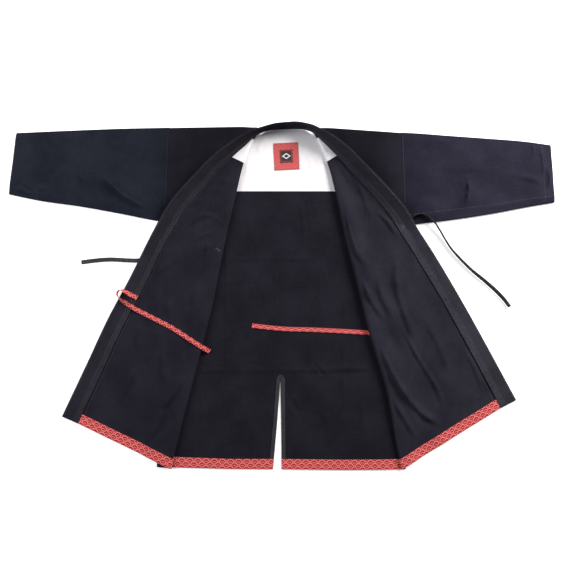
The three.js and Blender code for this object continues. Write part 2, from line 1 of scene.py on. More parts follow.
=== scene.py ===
# A kendo jacket laid on its back with both fronts turned open, on a pale floor.
# Each half is worked out in millimetres as (out, up, height), where out is the distance
# from the centre line, and is then set to the left or to the right, in metres.
import logging
import math
from dataclasses import dataclass
from enum import Enum

import bpy
import numpy as np
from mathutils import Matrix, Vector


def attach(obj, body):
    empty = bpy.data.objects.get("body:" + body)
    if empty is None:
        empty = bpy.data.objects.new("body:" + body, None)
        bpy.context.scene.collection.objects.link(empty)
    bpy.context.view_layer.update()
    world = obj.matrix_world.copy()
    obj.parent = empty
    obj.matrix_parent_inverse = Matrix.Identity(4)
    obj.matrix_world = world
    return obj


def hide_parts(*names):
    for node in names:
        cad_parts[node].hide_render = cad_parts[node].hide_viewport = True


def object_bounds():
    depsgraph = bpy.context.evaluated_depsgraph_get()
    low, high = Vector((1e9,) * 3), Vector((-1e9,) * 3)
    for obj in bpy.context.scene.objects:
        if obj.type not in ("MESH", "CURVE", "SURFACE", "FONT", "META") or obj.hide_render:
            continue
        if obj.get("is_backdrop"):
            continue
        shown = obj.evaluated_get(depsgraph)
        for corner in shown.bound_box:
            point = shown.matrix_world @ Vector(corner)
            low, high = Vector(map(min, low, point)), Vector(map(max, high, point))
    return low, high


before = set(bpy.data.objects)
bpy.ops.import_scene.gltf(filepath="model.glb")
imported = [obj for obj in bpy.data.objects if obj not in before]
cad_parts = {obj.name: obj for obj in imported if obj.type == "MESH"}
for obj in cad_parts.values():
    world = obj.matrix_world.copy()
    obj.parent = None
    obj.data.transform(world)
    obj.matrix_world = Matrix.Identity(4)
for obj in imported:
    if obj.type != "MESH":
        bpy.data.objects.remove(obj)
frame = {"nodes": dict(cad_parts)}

logging.basicConfig(level=logging.INFO, format="%(message)s")
log = logging.getLogger("jacket")

CAD_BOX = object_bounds()
MM = 0.001

Array = np.ndarray
Colour = tuple[float, float, float]
Material = bpy.types.Material
Node = bpy.types.Node
Object = bpy.types.Object
Socket = bpy.types.NodeSocket
Tree = bpy.types.NodeTree

# Cloths and seams
CLOTH = 1.6
LINING = 1.0
TRIM = 1.2
LABEL = 0.8
SEAM_GAP = 0.4
LAID_GAP = 0.35
ON_BACK = CLOTH + LAID_GAP

# The body, and where the opened fronts lie on it
HEM_UP = -467
NECK_UP = 475
SHOULDER_ROLL = 5
SHOULDER_WRAP = 1.2
SLEEVE_SEAM_OUT = 333
FRONT_CLEARANCE = 4.4
OPENED_CLEARANCE = 6.8
DROP_START = 4
DROP_LENGTH = 46
ROLL_FADE = 52
SEAM_FLATTEN = 48
SEAM_LIFT = 1.05
UNDERARM_RUN = 30
DIP_POWER = 24
NECK_SLANT = 0.16
BOW_END = 0.16
SHOULDER_KEPT = (0.84, 0.96)
FRONT_START = 98
LINING_ON_FRONT = 90

# The collar band, its sewn-down strip and the steepest that the band stands
COLLAR_WIDTH = 47
COLLAR_THICK = 3.6
STRIP_WIDTH = 17
STRIP_THICK = 4.8
STRIP_ROWS = (2.4, 6.4, 10.4, 14.4)
STEEPEST = 110

# Hem trims, vent, ties, patch and label
TRIM_WIDTH = 26
TIE_WIDTH = 12
TIE_THICK = 1.6
PATCH_PLACE = (3, 392)
PATCH_SIZE = (71, 82)
PATCH_TURN = 3.0
LABEL_SIZE = (35, 38)

# The printed waves: the width of a scale, the step between its rows, and the rings inside
# a scale as (middle, half width), where 1 is its rim
WAVE_WIDTH = 21
WAVE_STEP = 8.6
WAVE_RINGS = ((0.93, 0.07), (0.56, 0.05), (0.24, 0.05))

# Stitches: the length from one to the next, and how far their middles lie above the cloth
STITCH_PITCH = 3.3
FINE_PITCH = 2.6
TRIM_PITCH = 2.8
THREAD_LIFT = 0.1

# Loose cloth's unevenness: radians a millimetre out and up, and where each wave starts
RUMPLE_WAVES = (
    (0.031, 0.052, 0.9), (0.067, -0.024, 2.1), (-0.043, 0.083, 4.2), (0.108, 0.037, 5.3),
)

# Where a ridge fades in and out, as shares of its length, and how a crease's height wavers
RIDGE_ENDS = (-0.25, 0.3, 0.7, 1.25)
CREASE_KNOTS = 13
WAVER_LONG = (0.2, 19)
WAVER_SHORT = (0.1, 7.3)


class Half(Enum):
    """The two halves of the jacket, each with the sign of its x."""

    LEFT = -1
    RIGHT = 1


def smoothstep(x: Array, low: float, high: float) -> Array:
    """A smooth step from 0 at low to 1 at high."""
    t = np.clip((np.asarray(x, dtype=float) - low) / (high - low), 0, 1)
    return t * t * (3 - 2 * t)


def window(x: Array, start: float, full: float, fading: float, end: float) -> Array:
    """A smooth rise from start to full, and a smooth fall from fading to end."""
    return smoothstep(x, start, full) * (1 - smoothstep(x, fading, end))


def bell(x: Array, middle: float, width: float, power: int = 2) -> Array:
    """A bump that is 1 at its middle and dies away over its width."""
    return np.exp(-(((x - middle) / width) ** power))


def lerp(a: Array, b: Array, share: Array) -> Array:
    """The value at a share of the way from a to b."""
    return a + (b - a) * share


def eased(steps: int, pull: float) -> Array:
    """Shares from 0 to 1 in so many steps, drawn to both ends by a pull from 0 to 1."""
    t = np.linspace(0, 1, steps + 1)
    return lerp(t, (1 - np.cos(np.pi * t)) / 2, pull)


def distances_along(points: Array) -> Array:
    """The distance run along a row of points, at each of them."""
    steps = np.linalg.norm(np.diff(points, axis=0), axis=1)
    return np.concatenate(([0.0], np.cumsum(steps)))


def with_height(plan: Array, height: Array) -> Array:
    """Plan places with a height added to each, in metres."""
    height = np.broadcast_to(height, plan.shape[:-1])
    return np.concatenate((plan, height[..., None]), axis=-1) * MM


class Line:
    """A smooth line through a table's rows, read by the distance run along it."""

    def __init__(self, rows: tuple, measured: tuple[int, ...] = (0, 1)) -> None:
        """Works out the distances and slopes.

        Args:
            rows: the table, one row for each point.
            measured: the columns that the distance is measured in.
        """
        self.rows = np.array(rows, dtype=float)
        self.at = distances_along(self.rows[:, list(measured)])
        self.length = float(self.at[-1])
        spans = np.diff(self.at)[:, None]
        rise = np.diff(self.rows, axis=0) / spans
        inner = (rise[:-1] * spans[1:] + rise[1:] * spans[:-1]) / (spans[:-1] + spans[1:])
        self.slopes = np.vstack((rise[:1], inner, rise[-1:]))

    def read(self, distance: Array) -> Array:
        """The table's columns at distances along the line.

        Args:
            distance: how far along, in millimetres.

        Returns:
            An array with the table's columns last.
        """
        d = np.clip(np.asarray(distance, dtype=float), 0, self.length)
        i = np.clip(np.searchsorted(self.at, d - 1e-9), 1, len(self.at) - 1)
        span = (self.at[i] - self.at[i - 1])[..., None]
        t = (d - self.at[i - 1])[..., None] / span
        a, b = self.rows[i - 1], self.rows[i]
        start, end = self.slopes[i - 1] * span, self.slopes[i] * span
        placed = a * (1 + 2 * t) * (1 - t) ** 2 + b * (3 - 2 * t) * t**2
        return placed + start * t * (1 - t) ** 2 - end * t**2 * (1 - t)


@dataclass(frozen=True)
class Ridge:
    """A long soft swell of the cloth between two places, as the solid has it."""

    from_out: float
    from_up: float
    to_out: float
    to_up: float
    height: float
    width: float

    def rise(self, out: Array, up: Array) -> Array:
        """The height it adds.

        Args:
            out: distances from the centre line.
            up: distances up the jacket.

        Returns:
            The added heights, in millimetres.
        """
        run_out, run_up = self.to_out - self.from_out, self.to_up - self.from_up
        length = math.hypot(run_out, run_up)
        ahead = (out - self.from_out) * run_out + (up - self.from_up) * run_up
        away = (out - self.from_out) * run_up - (up - self.from_up) * run_out
        return self.height * window(ahead / length**2, *RIDGE_ENDS) * bell(away / length, 0, self.width)


@dataclass(frozen=True)
class Crease:
    """A crease: a ridge where height is above 0 and a trough below it.

    One of its flanks is steeper than the other, and its height wavers along it.
    """

    points: tuple[tuple[float, float], ...]
    height: float
    width: float
    steep: float = 0.6
    tail: float = 0.35

    def rise(self, out: Array, up: Array) -> Array:
        """The height it adds.

        Args:
            out: distances from the centre line.
            up: distances up the jacket.

        Returns:
            The added heights, in millimetres.
        """
        line = Line(self.points)
        knots = line.read(np.linspace(0, line.length, CREASE_KNOTS))
        nearest = np.full(np.shape(out), np.inf)
        side, run = np.ones(np.shape(out)), np.zeros(np.shape(out))
        done = 0.0
        for a, b in zip(knots[:-1], knots[1:]):
            step = b - a
            length = float(np.hypot(*step))
            share = ((out - a[0]) * step[0] + (up - a[1]) * step[1]) / length**2
            share = np.clip(share, 0, 1)
            away_out = out - a[0] - step[0] * share
            away_up = up - a[1] - step[1] * share
            away = np.hypot(away_out, away_up)
            closer = away < nearest
            nearest = np.where(closer, away, nearest)
            side = np.where(closer, np.sign(step[0] * away_up - step[1] * away_out), side)
            run = np.where(closer, done + length * share, run)
            done += length
        width = np.where(side > 0, self.width, self.width * self.steep)
        ends = window(run / done, 0, self.tail, 1 - self.tail, 1)
        (long, long_run), (short, short_run) = WAVER_LONG, WAVER_SHORT
        waver = 1 + long * np.sin(run / long_run + self.points[0][0]) + short * np.sin(run / short_run)
        return self.height * ends * waver * bell(nearest, 0, width)


def creases(*rows: tuple) -> tuple[Crease, ...]:
    """Creases from rows of (points, height, width, steep, tail)."""
    return tuple(Crease(*row) for row in rows)


def total_rise(ridges: tuple, out: Array, up: Array) -> Array:
    """The height that several ridges or creases add together at places (out, up)."""
    return sum((ridge.rise(out, up) for ridge in ridges), np.zeros(np.shape(out)))


def rumple(out: Array, up: Array, phase: float) -> Array:
    """The slight unevenness of cloth that lies loosely.

    Args:
        out: distances from the centre line.
        up: distances up the jacket.
        phase: shifts the pattern, so that no two pieces match.

    Returns:
        Heights from 0 to about 1.
    """
    height = np.zeros(np.shape(out))
    for k, (wave_out, wave_up, start) in enumerate(RUMPLE_WAVES):
        height = height + np.sin(out * wave_out + up * wave_up + start + phase * (k + 1)) / (k + 1.6)
    return np.clip(0.5 + height / 3.2, 0, 1)


@dataclass(frozen=True)
class Seam:
    """One row of stitches along a line on a cloth's surface, in metres."""

    points: Array
    ups: Array
    pitch: float = STITCH_PITCH

    @staticmethod
    def level(plan: Array, height: float, pitch: float = STITCH_PITCH) -> "Seam":
        """A row of stitches along plan places, at one height."""
        return Seam(with_height(plan, height), np.tile((0.0, 0.0, 1.0), (len(plan), 1)), pitch)

    def stitches(self) -> tuple[Array, Array, Array]:
        """Where each stitch lies, which way it runs and which way is off the cloth.

        Returns:
            Middles, directions along the seam and directions off the cloth.
        """
        at = distances_along(self.points)
        count = max(1, int(at[-1] / (self.pitch * MM)))
        wanted = (np.arange(count) + 0.5) * at[-1] / count
        reach = self.pitch * MM * 0.3

        def read(values: Array, where: Array) -> Array:
            """The values at distances along the line."""
            return np.stack([np.interp(where, at, values[:, k]) for k in range(3)], axis=1)

        along = read(self.points, wanted + reach) - read(self.points, wanted - reach)
        along /= np.maximum(np.linalg.norm(along, axis=1, keepdims=True), 1e-12)
        return read(self.points, wanted), along, read(self.ups, wanted)


@dataclass(frozen=True)
class Side:
    """One half of the jacket: its lines, its ridges and its creases."""

    half: Half
    collar: Line
    fold: Line
    sleeve: Line
    ridges: tuple[Ridge, ...]
    creases: tuple[Crease, ...]
    sleeve_ridges: tuple[Ridge, ...]
    sleeve_creases: tuple[Crease, ...]
    collar_creases: tuple[Crease, ...]
    top_up: float
    hem_out: float
    hem_up: float
    shoulder_rise: float
    mounds: tuple[Ridge, ...] = ()
    tie_under: tuple[Ridge, ...] = ()

    @property
    def name(self) -> str:
        """The half's name, left or right."""
        return self.half.name.lower()

    @property
    def underarm(self) -> float:
        """How far up the sleeve meets the side seam."""
        return self.sleeve.rows[0][1]

    def side_out(self, up: Array) -> Array:
        """How far out the sleeve seam and the side seam run at distances up the jacket."""
        t = np.clip((self.underarm - up) / (self.underarm - self.hem_up), 0, 1)
        return lerp(SLEEVE_SEAM_OUT, self.hem_out, t)

    def sleeve_lower(self, out: Array) -> Array:
        """How far up the sleeve's lower edge runs.

        Args:
            out: distances from the centre line.

        Returns:
            Distances up the jacket.
        """
        rows = self.sleeve.rows
        slope = (rows[1][1] - rows[0][1]) / (rows[1][0] - rows[0][0])
        inside = rows[0][1] + (out - rows[0][0]) * slope
        return np.where(out < rows[0][0], inside, np.interp(out, rows[:, 0], rows[:, 1]))

    def rest_height(self, out: Array, up: Array) -> Array:
        """The height that the opened front's underside rests at.

        Args:
            out: distances from the centre line.
            up: distances up the jacket.

        Returns:
            Heights, in millimetres.
        """
        past = np.minimum(out - self.side_out(up), self.sleeve_lower(out) - up)
        covered = 1 - smoothstep(np.maximum(0, past), DROP_START, DROP_START + DROP_LENGTH)
        return OPENED_CLEARANCE * covered + total_rise(self.mounds, out, up)

    def facing(self, directions: Array) -> Array:
        """Directions of this half, turned to its own side of the centre line."""
        return directions * np.array([self.half.value, 1, 1])

    def placed(self, points: Array) -> Array:
        """(out, up, height) points set on their own side of the centre line, in metres."""
        return self.facing(points) * MM

    def seam(self, points: Array, ups: Array, pitch: float = STITCH_PITCH) -> Seam:
        """A row of stitches along (out, up, height) points."""
        return Seam(self.placed(points), self.facing(ups), pitch)


# Rows of (out, up, lift, tilt) along the collar's sewn edge, from the neck's middle
NECK_LEFT = (
    (0, 480.2, 0.8, 95), (30, 478.8, 1.1, 98), (56, 474, 1.6, 101), (75, 464.6, 5.8, 100),
    (93, 448.6, 9.6, 91), (113, 427.6, 10, 78), (150, 392.6, 8.8, 65), (193, 350, 7.6, 57),
    (230, 301, 6.9, 46), (279, 234, 6.8, 30), (327, 144, 0, 12), (386, 13, 0, 2),
    (435, -88, 0, 0), (482, -203, 0, 0), (543, -351, 0, 0),
)
NECK_RIGHT = (
    (0, 480.2, 0.8, 95), (34, 480.8, 0.9, 94), (60, 477.6, 1.6, 96), (78, 468.6, 5.8, 94),
    (93, 453.6, 9.6, 87), (112, 432.6, 10, 74), (152, 389, 8.6, 55), (207, 323, 7.2, 41),
    (262, 258, 6.8, 34), (300, 205, 6.8, 24), (327, 156, 0, 14), (366, 91, 0, 5),
    (446, -57, 0, 0), (497, -160, 0, 0), (570, -311, 0, 0),
)

# Rows of (out, up, roll) along each fold, from the neck to the hem
FOLD_LEFT = (
    (83, 452, 1.6), (98, 428, 2.2), (117, 372, 3.2), (136, 285, 4.6), (170, 116, 4.4),
    (198, -46, 3.8), (222, -154, 3.6), (252, -279, 4.2), (293, -465, 3.2),
)
FOLD_RIGHT = (
    (84, 456, 1.6), (98, 430, 2.4), (121, 365, 4), (141, 281, 6), (164, 162, 6.4),
    (193, 32, 6.6), (226, -113, 6.4), (269, -270, 5.2), (292, -414, 2.8), (303, -466, 1.4),
)

# Rows of (out, lower, upper, height, slant) along each sleeve
SLEEVE_LEFT = (
    (SLEEVE_SEAM_OUT, 197, 480, 4.6, 0), (364, 202, 479, 5.6, 0), (463, 222, 476.5, 6.6, 0),
    (577, 243, 472, 6.8, 1), (691, 260, 467, 6.6, 3), (774, 278, 463, 6.4, 6),
)
SLEEVE_RIGHT = (
    (SLEEVE_SEAM_OUT, 187, 465, 4.6, 0), (366, 191, 463, 5.6, 0), (463, 203, 455, 6.6, 0),
    (577, 221, 446, 6.8, 0), (691, 243, 436, 6.6, 0), (757, 254, 426, 6.4, -2),
)

LEFT = Side(
    half=Half.LEFT,
    collar=Line(NECK_LEFT),
    fold=Line(FOLD_LEFT),
    sleeve=Line(SLEEVE_LEFT, (0,)),
    ridges=(
        Ridge(190, 262, 268, 205, 5, 20),
        Ridge(196, 205, 262, 150, 4, 18),
        Ridge(300, -250, 352, -372, 3.5, 20),
        Ridge(262, -180, 300, -330, 3, 18),
    ),
    creases=creases(
        (((265, 185), (240, 210), (210, 215), (170, 190)), 2.2, 7),
        (((260, 135), (230, 155), (205, 165), (185, 165)), 1.9, 6),
        (((220, 110), (210, 135)), 1.7, 5),
        (((315, 60), (315, -80)), 2.2, 12, 0.8),
        (((325, -130), (320, -260)), 2.3, 11, 0.8),
        (((390, -80), (395, -180)), 1.8, 10, 0.8),
        (((260, -165), (305, -235)), 2.0, 8),
        (((260, -225), (320, -320)), 2.5, 9),
        (((310, -310), (355, -400)), 2.5, 9),
        (((230, 40), (245, -40), (260, -110)), 1.9, 12),
        (((205, 300), (230, 260), (260, 235)), 1.6, 9),
        (((150, 330), (175, 300), (195, 260)), 1.5, 10),
        (((395, -195), (420, -260), (450, -320)), 1.8, 10),
        (((280, 95), (320, 75), (350, 40)), 1.4, 12),
    ),
    sleeve_ridges=(
        Ridge(520, 330, 392, 250, 4.5, 17),
        Ridge(690, 420, 676, 330, 2.5, 20),
        Ridge(752, 330, 700, 282, 3, 18),
    ),
    sleeve_creases=creases(
        (((520, 330), (490, 305), (450, 270), (415, 250), (390, 240)), 3.2, 7, 0.55, 0.2),
        (((750, 300), (730, 285), (710, 270)), 2.2, 5, 0.5),
        (((740, 310), (725, 295), (700, 280)), -0.8, 4),
        (((690, 305), (685, 285), (690, 270)), 1.6, 4, 0.5),
        (((680, 305), (675, 285)), 1.2, 4, 0.5),
        (((675, 455), (665, 410)), 1.7, 4, 0.5),
        (((585, 345), (565, 305)), 1.6, 4, 0.5),
        (((360, 380), (380, 340), (365, 300)), -0.7, 10),
        (((430, 440), (470, 420), (520, 425)), 0.9, 16),
        (((610, 420), (640, 380), (650, 330)), 1.0, 20),
        (((340, 230), (360, 250), (370, 280)), 1.4, 6, 0.6),
    ),
    collar_creases=creases(
        (((120, 40), (150, 25), (190, 20)), 1.5, 5, 0.5),
        (((150, 45), (190, 35), (230, 30)), 1.2, 5, 0.6),
        (((180, 20), (215, 25), (250, 40)), 1.3, 5, 0.5),
        (((245, 40), (275, 30), (300, 20)), 1.0, 5, 0.6),
        (((740, 40), (765, 25)), 0.9, 4, 0.5),
        (((760, 45), (790, 20)), 0.9, 4, 0.5),
        (((835, 45), (840, 25)), 0.8, 4, 0.5),
        (((470, 40), (520, 35), (560, 25)), 0.6, 6),
        (((640, 40), (675, 30)), 0.6, 6),
    ),
    top_up=480,
    hem_out=331,
    hem_up=-461,
    shoulder_rise=3,
    mounds=(Ridge(180, 116, 480, 86, 3, 50),),
)

RIGHT = Side(
    half=Half.RIGHT,
    collar=Line(NECK_RIGHT),
    fold=Line(FOLD_RIGHT),
    sleeve=Line(SLEEVE_RIGHT, (0,)),
    ridges=(
        Ridge(172, 250, 232, 20, 8, 26),
        Ridge(232, 60, 322, -150, 6, 24),
        Ridge(250, -120, 344, -330, 9, 26),
        Ridge(286, 120, 350, -60, 4, 24),
        Ridge(322, -330, 420, -404, 3, 24),
    ),
    creases=creases(
        (((160, 240), (185, 125), (225, 60)), 2.6, 10, 0.6),
        (((200, 40), (240, -40), (275, -90)), 2.4, 10, 0.6),
        (((310, 130), (305, 0), (320, -55), (340, -115), (355, -175)), 2.6, 11, 0.7),
        (((240, -140), (275, -205), (310, -270), (360, -325), (415, -360)), 3.2, 10, 0.55, 0.2),
        (((270, -270), (310, -335), (350, -400)), 2.0, 9, 0.6),
        (((305, -80), (355, -180), (400, -255), (425, -335)), 1.7, 6, 0.6),
        (((475, -140), (515, -230), (525, -285)), 1.2, 8),
        (((250, 230), (285, 195), (310, 150)), 1.6, 7, 0.6),
        (((195, 330), (220, 270), (240, 195)), 1.8, 12),
        (((250, 60), (260, -10), (300, -85)), 1.8, 12),
        (((370, -60), (410, -140), (445, -235)), 1.3, 13),
        (((150, 380), (170, 335), (190, 300)), 1.4, 10),
    ),
    sleeve_ridges=(
        Ridge(516, 322, 500, 240, 4, 16),
        Ridge(690, 420, 712, 330, 3, 20),
        Ridge(560, 270, 420, 222, 3.5, 22),
    ),
    sleeve_creases=creases(
        (((515, 325), (510, 275), (500, 240)), 2.6, 6, 0.45),
        (((700, 435), (705, 410), (700, 385)), 1.5, 5, 0.5),
        (((725, 420), (730, 385), (730, 330)), 1.6, 7, 0.5),
        (((740, 370), (745, 330), (740, 285)), 1.4, 6, 0.5),
        (((340, 300), (380, 380), (440, 410)), 1.4, 14, 0.8),
        (((420, 350), (500, 355), (590, 350)), 0.8, 16),
        (((640, 330), (700, 320), (735, 295)), 1.2, 12),
        (((350, 260), (395, 270), (450, 260)), -0.6, 14),
        (((560, 230), (620, 245), (690, 255)), 0.8, 9),
    ),
    collar_creases=creases(
        (((130, 40), (170, 30), (215, 25)), 0.8, 6, 0.6),
        (((235, 25), (280, 35), (330, 45)), 0.7, 6, 0.6),
        (((370, 45), (390, 30), (405, 20)), 1.0, 5, 0.5),
        (((560, 40), (605, 30), (650, 30)), 0.6, 7),
        (((800, 40), (820, 25)), 0.9, 4, 0.5),
    ),
    top_up=465,
    hem_out=313,
    hem_up=-467,
    shoulder_rise=17,
    tie_under=(Ridge(260, -115, 340, -115, 2, 64),),
)


def grid_quads(rows: int, columns: int, ring: bool = False) -> Array:
    """The four-cornered faces between the points of a grid.

    Args:
        rows: how many rows of points there are.
        columns: how many points a row has.
        ring: whether the last column joins the first.

    Returns:
        An array of four point numbers for each face.
    """
    across = np.arange(columns if ring else columns - 1)
    r, c = np.meshgrid(np.arange(rows - 1) * columns, across, indexing="ij")
    r, c = r.ravel(), c.ravel()
    after = (c + 1) % columns
    return np.stack((r + c, r + columns + c, r + columns + after, r + after), axis=1)


def lengths_across(points: Array, middle: int = 0) -> Array:
    """Each point's place on its own cloth, as lengths along its row and down its column.

    Args:
        points: a grid of points.
        middle: the column that the lengths along a row start from.

    Returns:
        A grid of (u, v) places in the points' own unit.
    """
    across = np.linalg.norm(np.diff(points, axis=1), axis=2)
    u = np.concatenate((np.zeros((len(points), 1)), np.cumsum(across, axis=1)), axis=1)
    u -= u[:, middle : middle + 1]
    v = distances_along(points[:, middle])
    return np.stack((u, np.broadcast_to(v[:, None], u.shape)), axis=2)


def linked(name: str, data: object) -> Object:
    """A new object in the scene.

    Args:
        name: the object's name.
        data: its mesh, light or camera.

    Returns:
        The object.
    """
    made = bpy.data.objects.new(name, data)
    bpy.context.collection.objects.link(made)
    return made


def mesh_object(name: str, points: Array, faces: list, uvs: Array, sharp: float = 50) -> Object:
    """A mesh object with its faces pointing out and its own places on the cloth.

    Args:
        name: the object's name.
        points: its points, in metres.
        faces: point numbers for each face.
        uvs: one place on the cloth for each corner of each face, in metres.
        sharp: the angle from which an edge stays sharp, in degrees.

    Returns:
        The object.
    """
    fans = [(face[0], face[k], face[k + 1]) for face in faces for k in range(1, len(face) - 1)]
    a, b, c = (points[np.array(fans)[:, k]] for k in range(3))
    if np.einsum("ij,ij->", a, np.cross(b, c)) < 0:
        starts = np.cumsum([0] + [len(face) for face in faces])
        order = [k for i, j in zip(starts[:-1], starts[1:]) for k in range(j - 1, i - 1, -1)]
        faces = [face[::-1] for face in faces]
        uvs = uvs[order]
    mesh = bpy.data.meshes.new(name)
    mesh.from_pydata(points.tolist(), [], faces)
    layer = mesh.uv_layers.new(name="cloth")
    layer.data.foreach_set("uv", np.asarray(uvs, dtype=np.float32).ravel())
    mesh.shade_smooth()
    mesh.set_sharp_from_angle(angle=math.radians(sharp))
    return linked(name, mesh)


def shell(name: str, face: Array, back: Array, quads: Array, uv: Array) -> Object:
    """A thin closed cloth: its face, its back and the edges between them.

    Args:
        name: the object's name.
        face: the points of its upper side, in metres.
        back: the matching points of its under side.
        quads: the faces of one side.
        uv: each point's place on the cloth.

    Returns:
        The object.
    """
    count = len(face)
    heads, tails = quads.ravel(), np.roll(quads, -1, axis=1).ravel()
    open_edges = ~np.isin(heads * count + tails, tails * count + heads)
    a, b = heads[open_edges], tails[open_edges]
    rims = np.stack((b, a, a + count, b + count), axis=1)
    faces = np.concatenate((quads, quads[:, ::-1] + count, rims))
    places = np.concatenate((uv, uv))
    return mesh_object(name, np.concatenate((face, back)), faces.tolist(), places[faces.ravel()])


def grid_shell(name: str, face: Array, back: Array, uv: Array, ring: bool = False) -> Object:
    """A thin closed cloth made from two grids of points.

    Args:
        name: the object's name.
        face: the grid of its upper side, in metres.
        back: the grid of its under side.
        uv: the grid of places on the cloth.
        ring: whether the last column joins the first.

    Returns:
        The object.
    """
    quads = grid_quads(*face.shape[:2], ring)
    return shell(name, face.reshape(-1, 3), back.reshape(-1, 3), quads, uv.reshape(-1, 2))


def loft(name: str, sections: Array, sharp: float) -> Object:
    """A closed body through sections that all have the same number of points.

    Args:
        name: the object's name.
        sections: the sections' points, in metres.
        sharp: the angle from which an edge stays sharp, in degrees.

    Returns:
        The object.
    """
    count, size = sections.shape[:2]
    faces = grid_quads(count, size, ring=True).tolist()
    closed = np.concatenate((sections, sections[:, :1]), axis=1)
    places = lengths_across(closed)[..., ::-1]
    sides = places.reshape(-1, 2)[grid_quads(count, size + 1).ravel()]
    first = np.arange(size)
    faces += [first.tolist(), (first[::-1] + (count - 1) * size).tolist()]
    uvs = np.concatenate((sides, places[0, first], places[-1, first[::-1]]))
    return mesh_object(name, sections.reshape(-1, 3), faces, uvs, sharp)


class NodeKit:
    """Adds nodes to one tree and joins them, for materials and node groups."""

    def __init__(self, tree: Tree) -> None:
        """Keeps the tree."""
        self.tree = tree

    def add(self, kind: str, settings: dict | None = None, **inputs: object) -> Node:
        """A new node.

        Args:
            kind: the node's type.
            settings: the node's own settings, by name.
            inputs: values or sockets, by the input's name with _ for a blank.

        Returns:
            The node.
        """
        node = self.tree.nodes.new(kind)
        for name, value in (settings or {}).items():
            setattr(node, name, value)
        self.fill(node, **inputs)
        return node

    def fill(self, node: Node, **inputs: object) -> None:
        """Sets or joins a node's inputs, by name with _ for a blank."""
        for name, value in inputs.items():
            self.put(node.inputs[name.replace("_", " ")], value)

    def put(self, socket: Socket, value: object) -> None:
        """Joins an input to another node's output, or sets it to a plain value.

        Args:
            socket: the input.
            value: the other node's output, or the value.
        """
        if isinstance(value, Socket):
            self.tree.links.new(value, socket)
        else:
            socket.default_value = value

    def math(self, operation: str, *values: object) -> Socket:
        """A sum of plain numbers or sockets.

        Args:
            operation: the sum's name.
            values: one, two or three numbers or sockets.

        Returns:
            The answer's socket.
        """
        node = self.add("ShaderNodeMath", {"operation": operation})
        for socket, value in zip(node.inputs, values):
            self.put(socket, value)
        return node.outputs[0]

    def ramp(self, value: Socket, low: float, high: float, to_low: float = 0.0,
             to_high: float = 1.0) -> Socket:
        """A value moved smoothly from one range to another.

        Args:
            value: the socket that is read.
            low: the first value of its range.
            high: the last value of its range.
            to_low: what the first value becomes.
            to_high: what the last value becomes.

        Returns:
            The answer's socket.
        """
        node = self.add("ShaderNodeMapRange", {"interpolation_type": "SMOOTHSTEP"}, Value=value,
                        From_Min=low, From_Max=high, To_Min=to_low, To_Max=to_high)
        return node.outputs["Result"]

    def split(self, vector: Socket) -> bpy.types.bpy_prop_collection:
        """A vector's parts, as outputs named X, Y and Z."""
        return self.add("ShaderNodeSeparateXYZ", Vector=vector).outputs

    def stretched(self, vector: Socket, scale: tuple[float, float, float]) -> Socket:
        """A vector with each of its parts scaled.

        Args:
            vector: the socket that is read.
            scale: the three scales.

        Returns:
            The scaled vector's socket.
        """
        node = self.add("ShaderNodeVectorMath", {"operation": "MULTIPLY"})
        self.put(node.inputs[0], vector)
        self.put(node.inputs[1], scale)
        return node.outputs[0]

    def noise(self, vector: Socket, scale: float, detail: float = 2.0) -> Socket:
        """A soft noise from 0 to 1, with so many swells in a unit and finer layers."""
        return self.add("ShaderNodeTexNoise", Vector=vector, Scale=scale, Detail=detail).outputs["Fac"]

    def mixed(self, share: Socket, a: object, b: object) -> Socket:
        """A colour between two colours.

        Args:
            share: how much of the second one there is.
            a: the first colour or its socket.
            b: the second colour or its socket.

        Returns:
            The colour's socket.
        """
        node = self.add("ShaderNodeMix", {"data_type": "RGBA"}, Factor=share)
        for socket, colour in zip((node.inputs[6], node.inputs[7]), (a, b)):
            self.put(socket, colour if isinstance(colour, Socket) else (*colour, 1))
        return node.outputs[2]


class GroupKit(NodeKit):
    """A new node group with named sockets."""

    def __init__(self, name: str, kind: str, inputs: dict[str, str], outputs: dict[str, str]) -> None:
        """Makes the group, its sockets and its two end nodes.

        Args:
            name: the group's name.
            kind: the tree's type.
            inputs: each input's kind, by its name.
            outputs: each output's kind, by its name.
        """
        super().__init__(bpy.data.node_groups.new(name, kind))
        for way, sockets in (("INPUT", inputs), ("OUTPUT", outputs)):
            for title, socket in sockets.items():
                self.tree.interface.new_socket(title, in_out=way, socket_type=f"NodeSocket{socket}")
        self.given = self.add("NodeGroupInput").outputs
        self.made = self.add("NodeGroupOutput")


# Woven cotton: how its slubs are stretched each way, its noises' scales, where its tone and
# patches run from and to, and what its relief is made of
SLUBS = ((560, 30, 1), (30, 560, 1))
FUZZ_SCALE = 420.0
PATCH_SCALE = 11.0
TONE_RANGE = (0.55, 0.95)
PATCH_RANGE = (0.32, 0.68)
WEAVE_RELIEF = 0.35
SLUB_RELIEF = 1.6


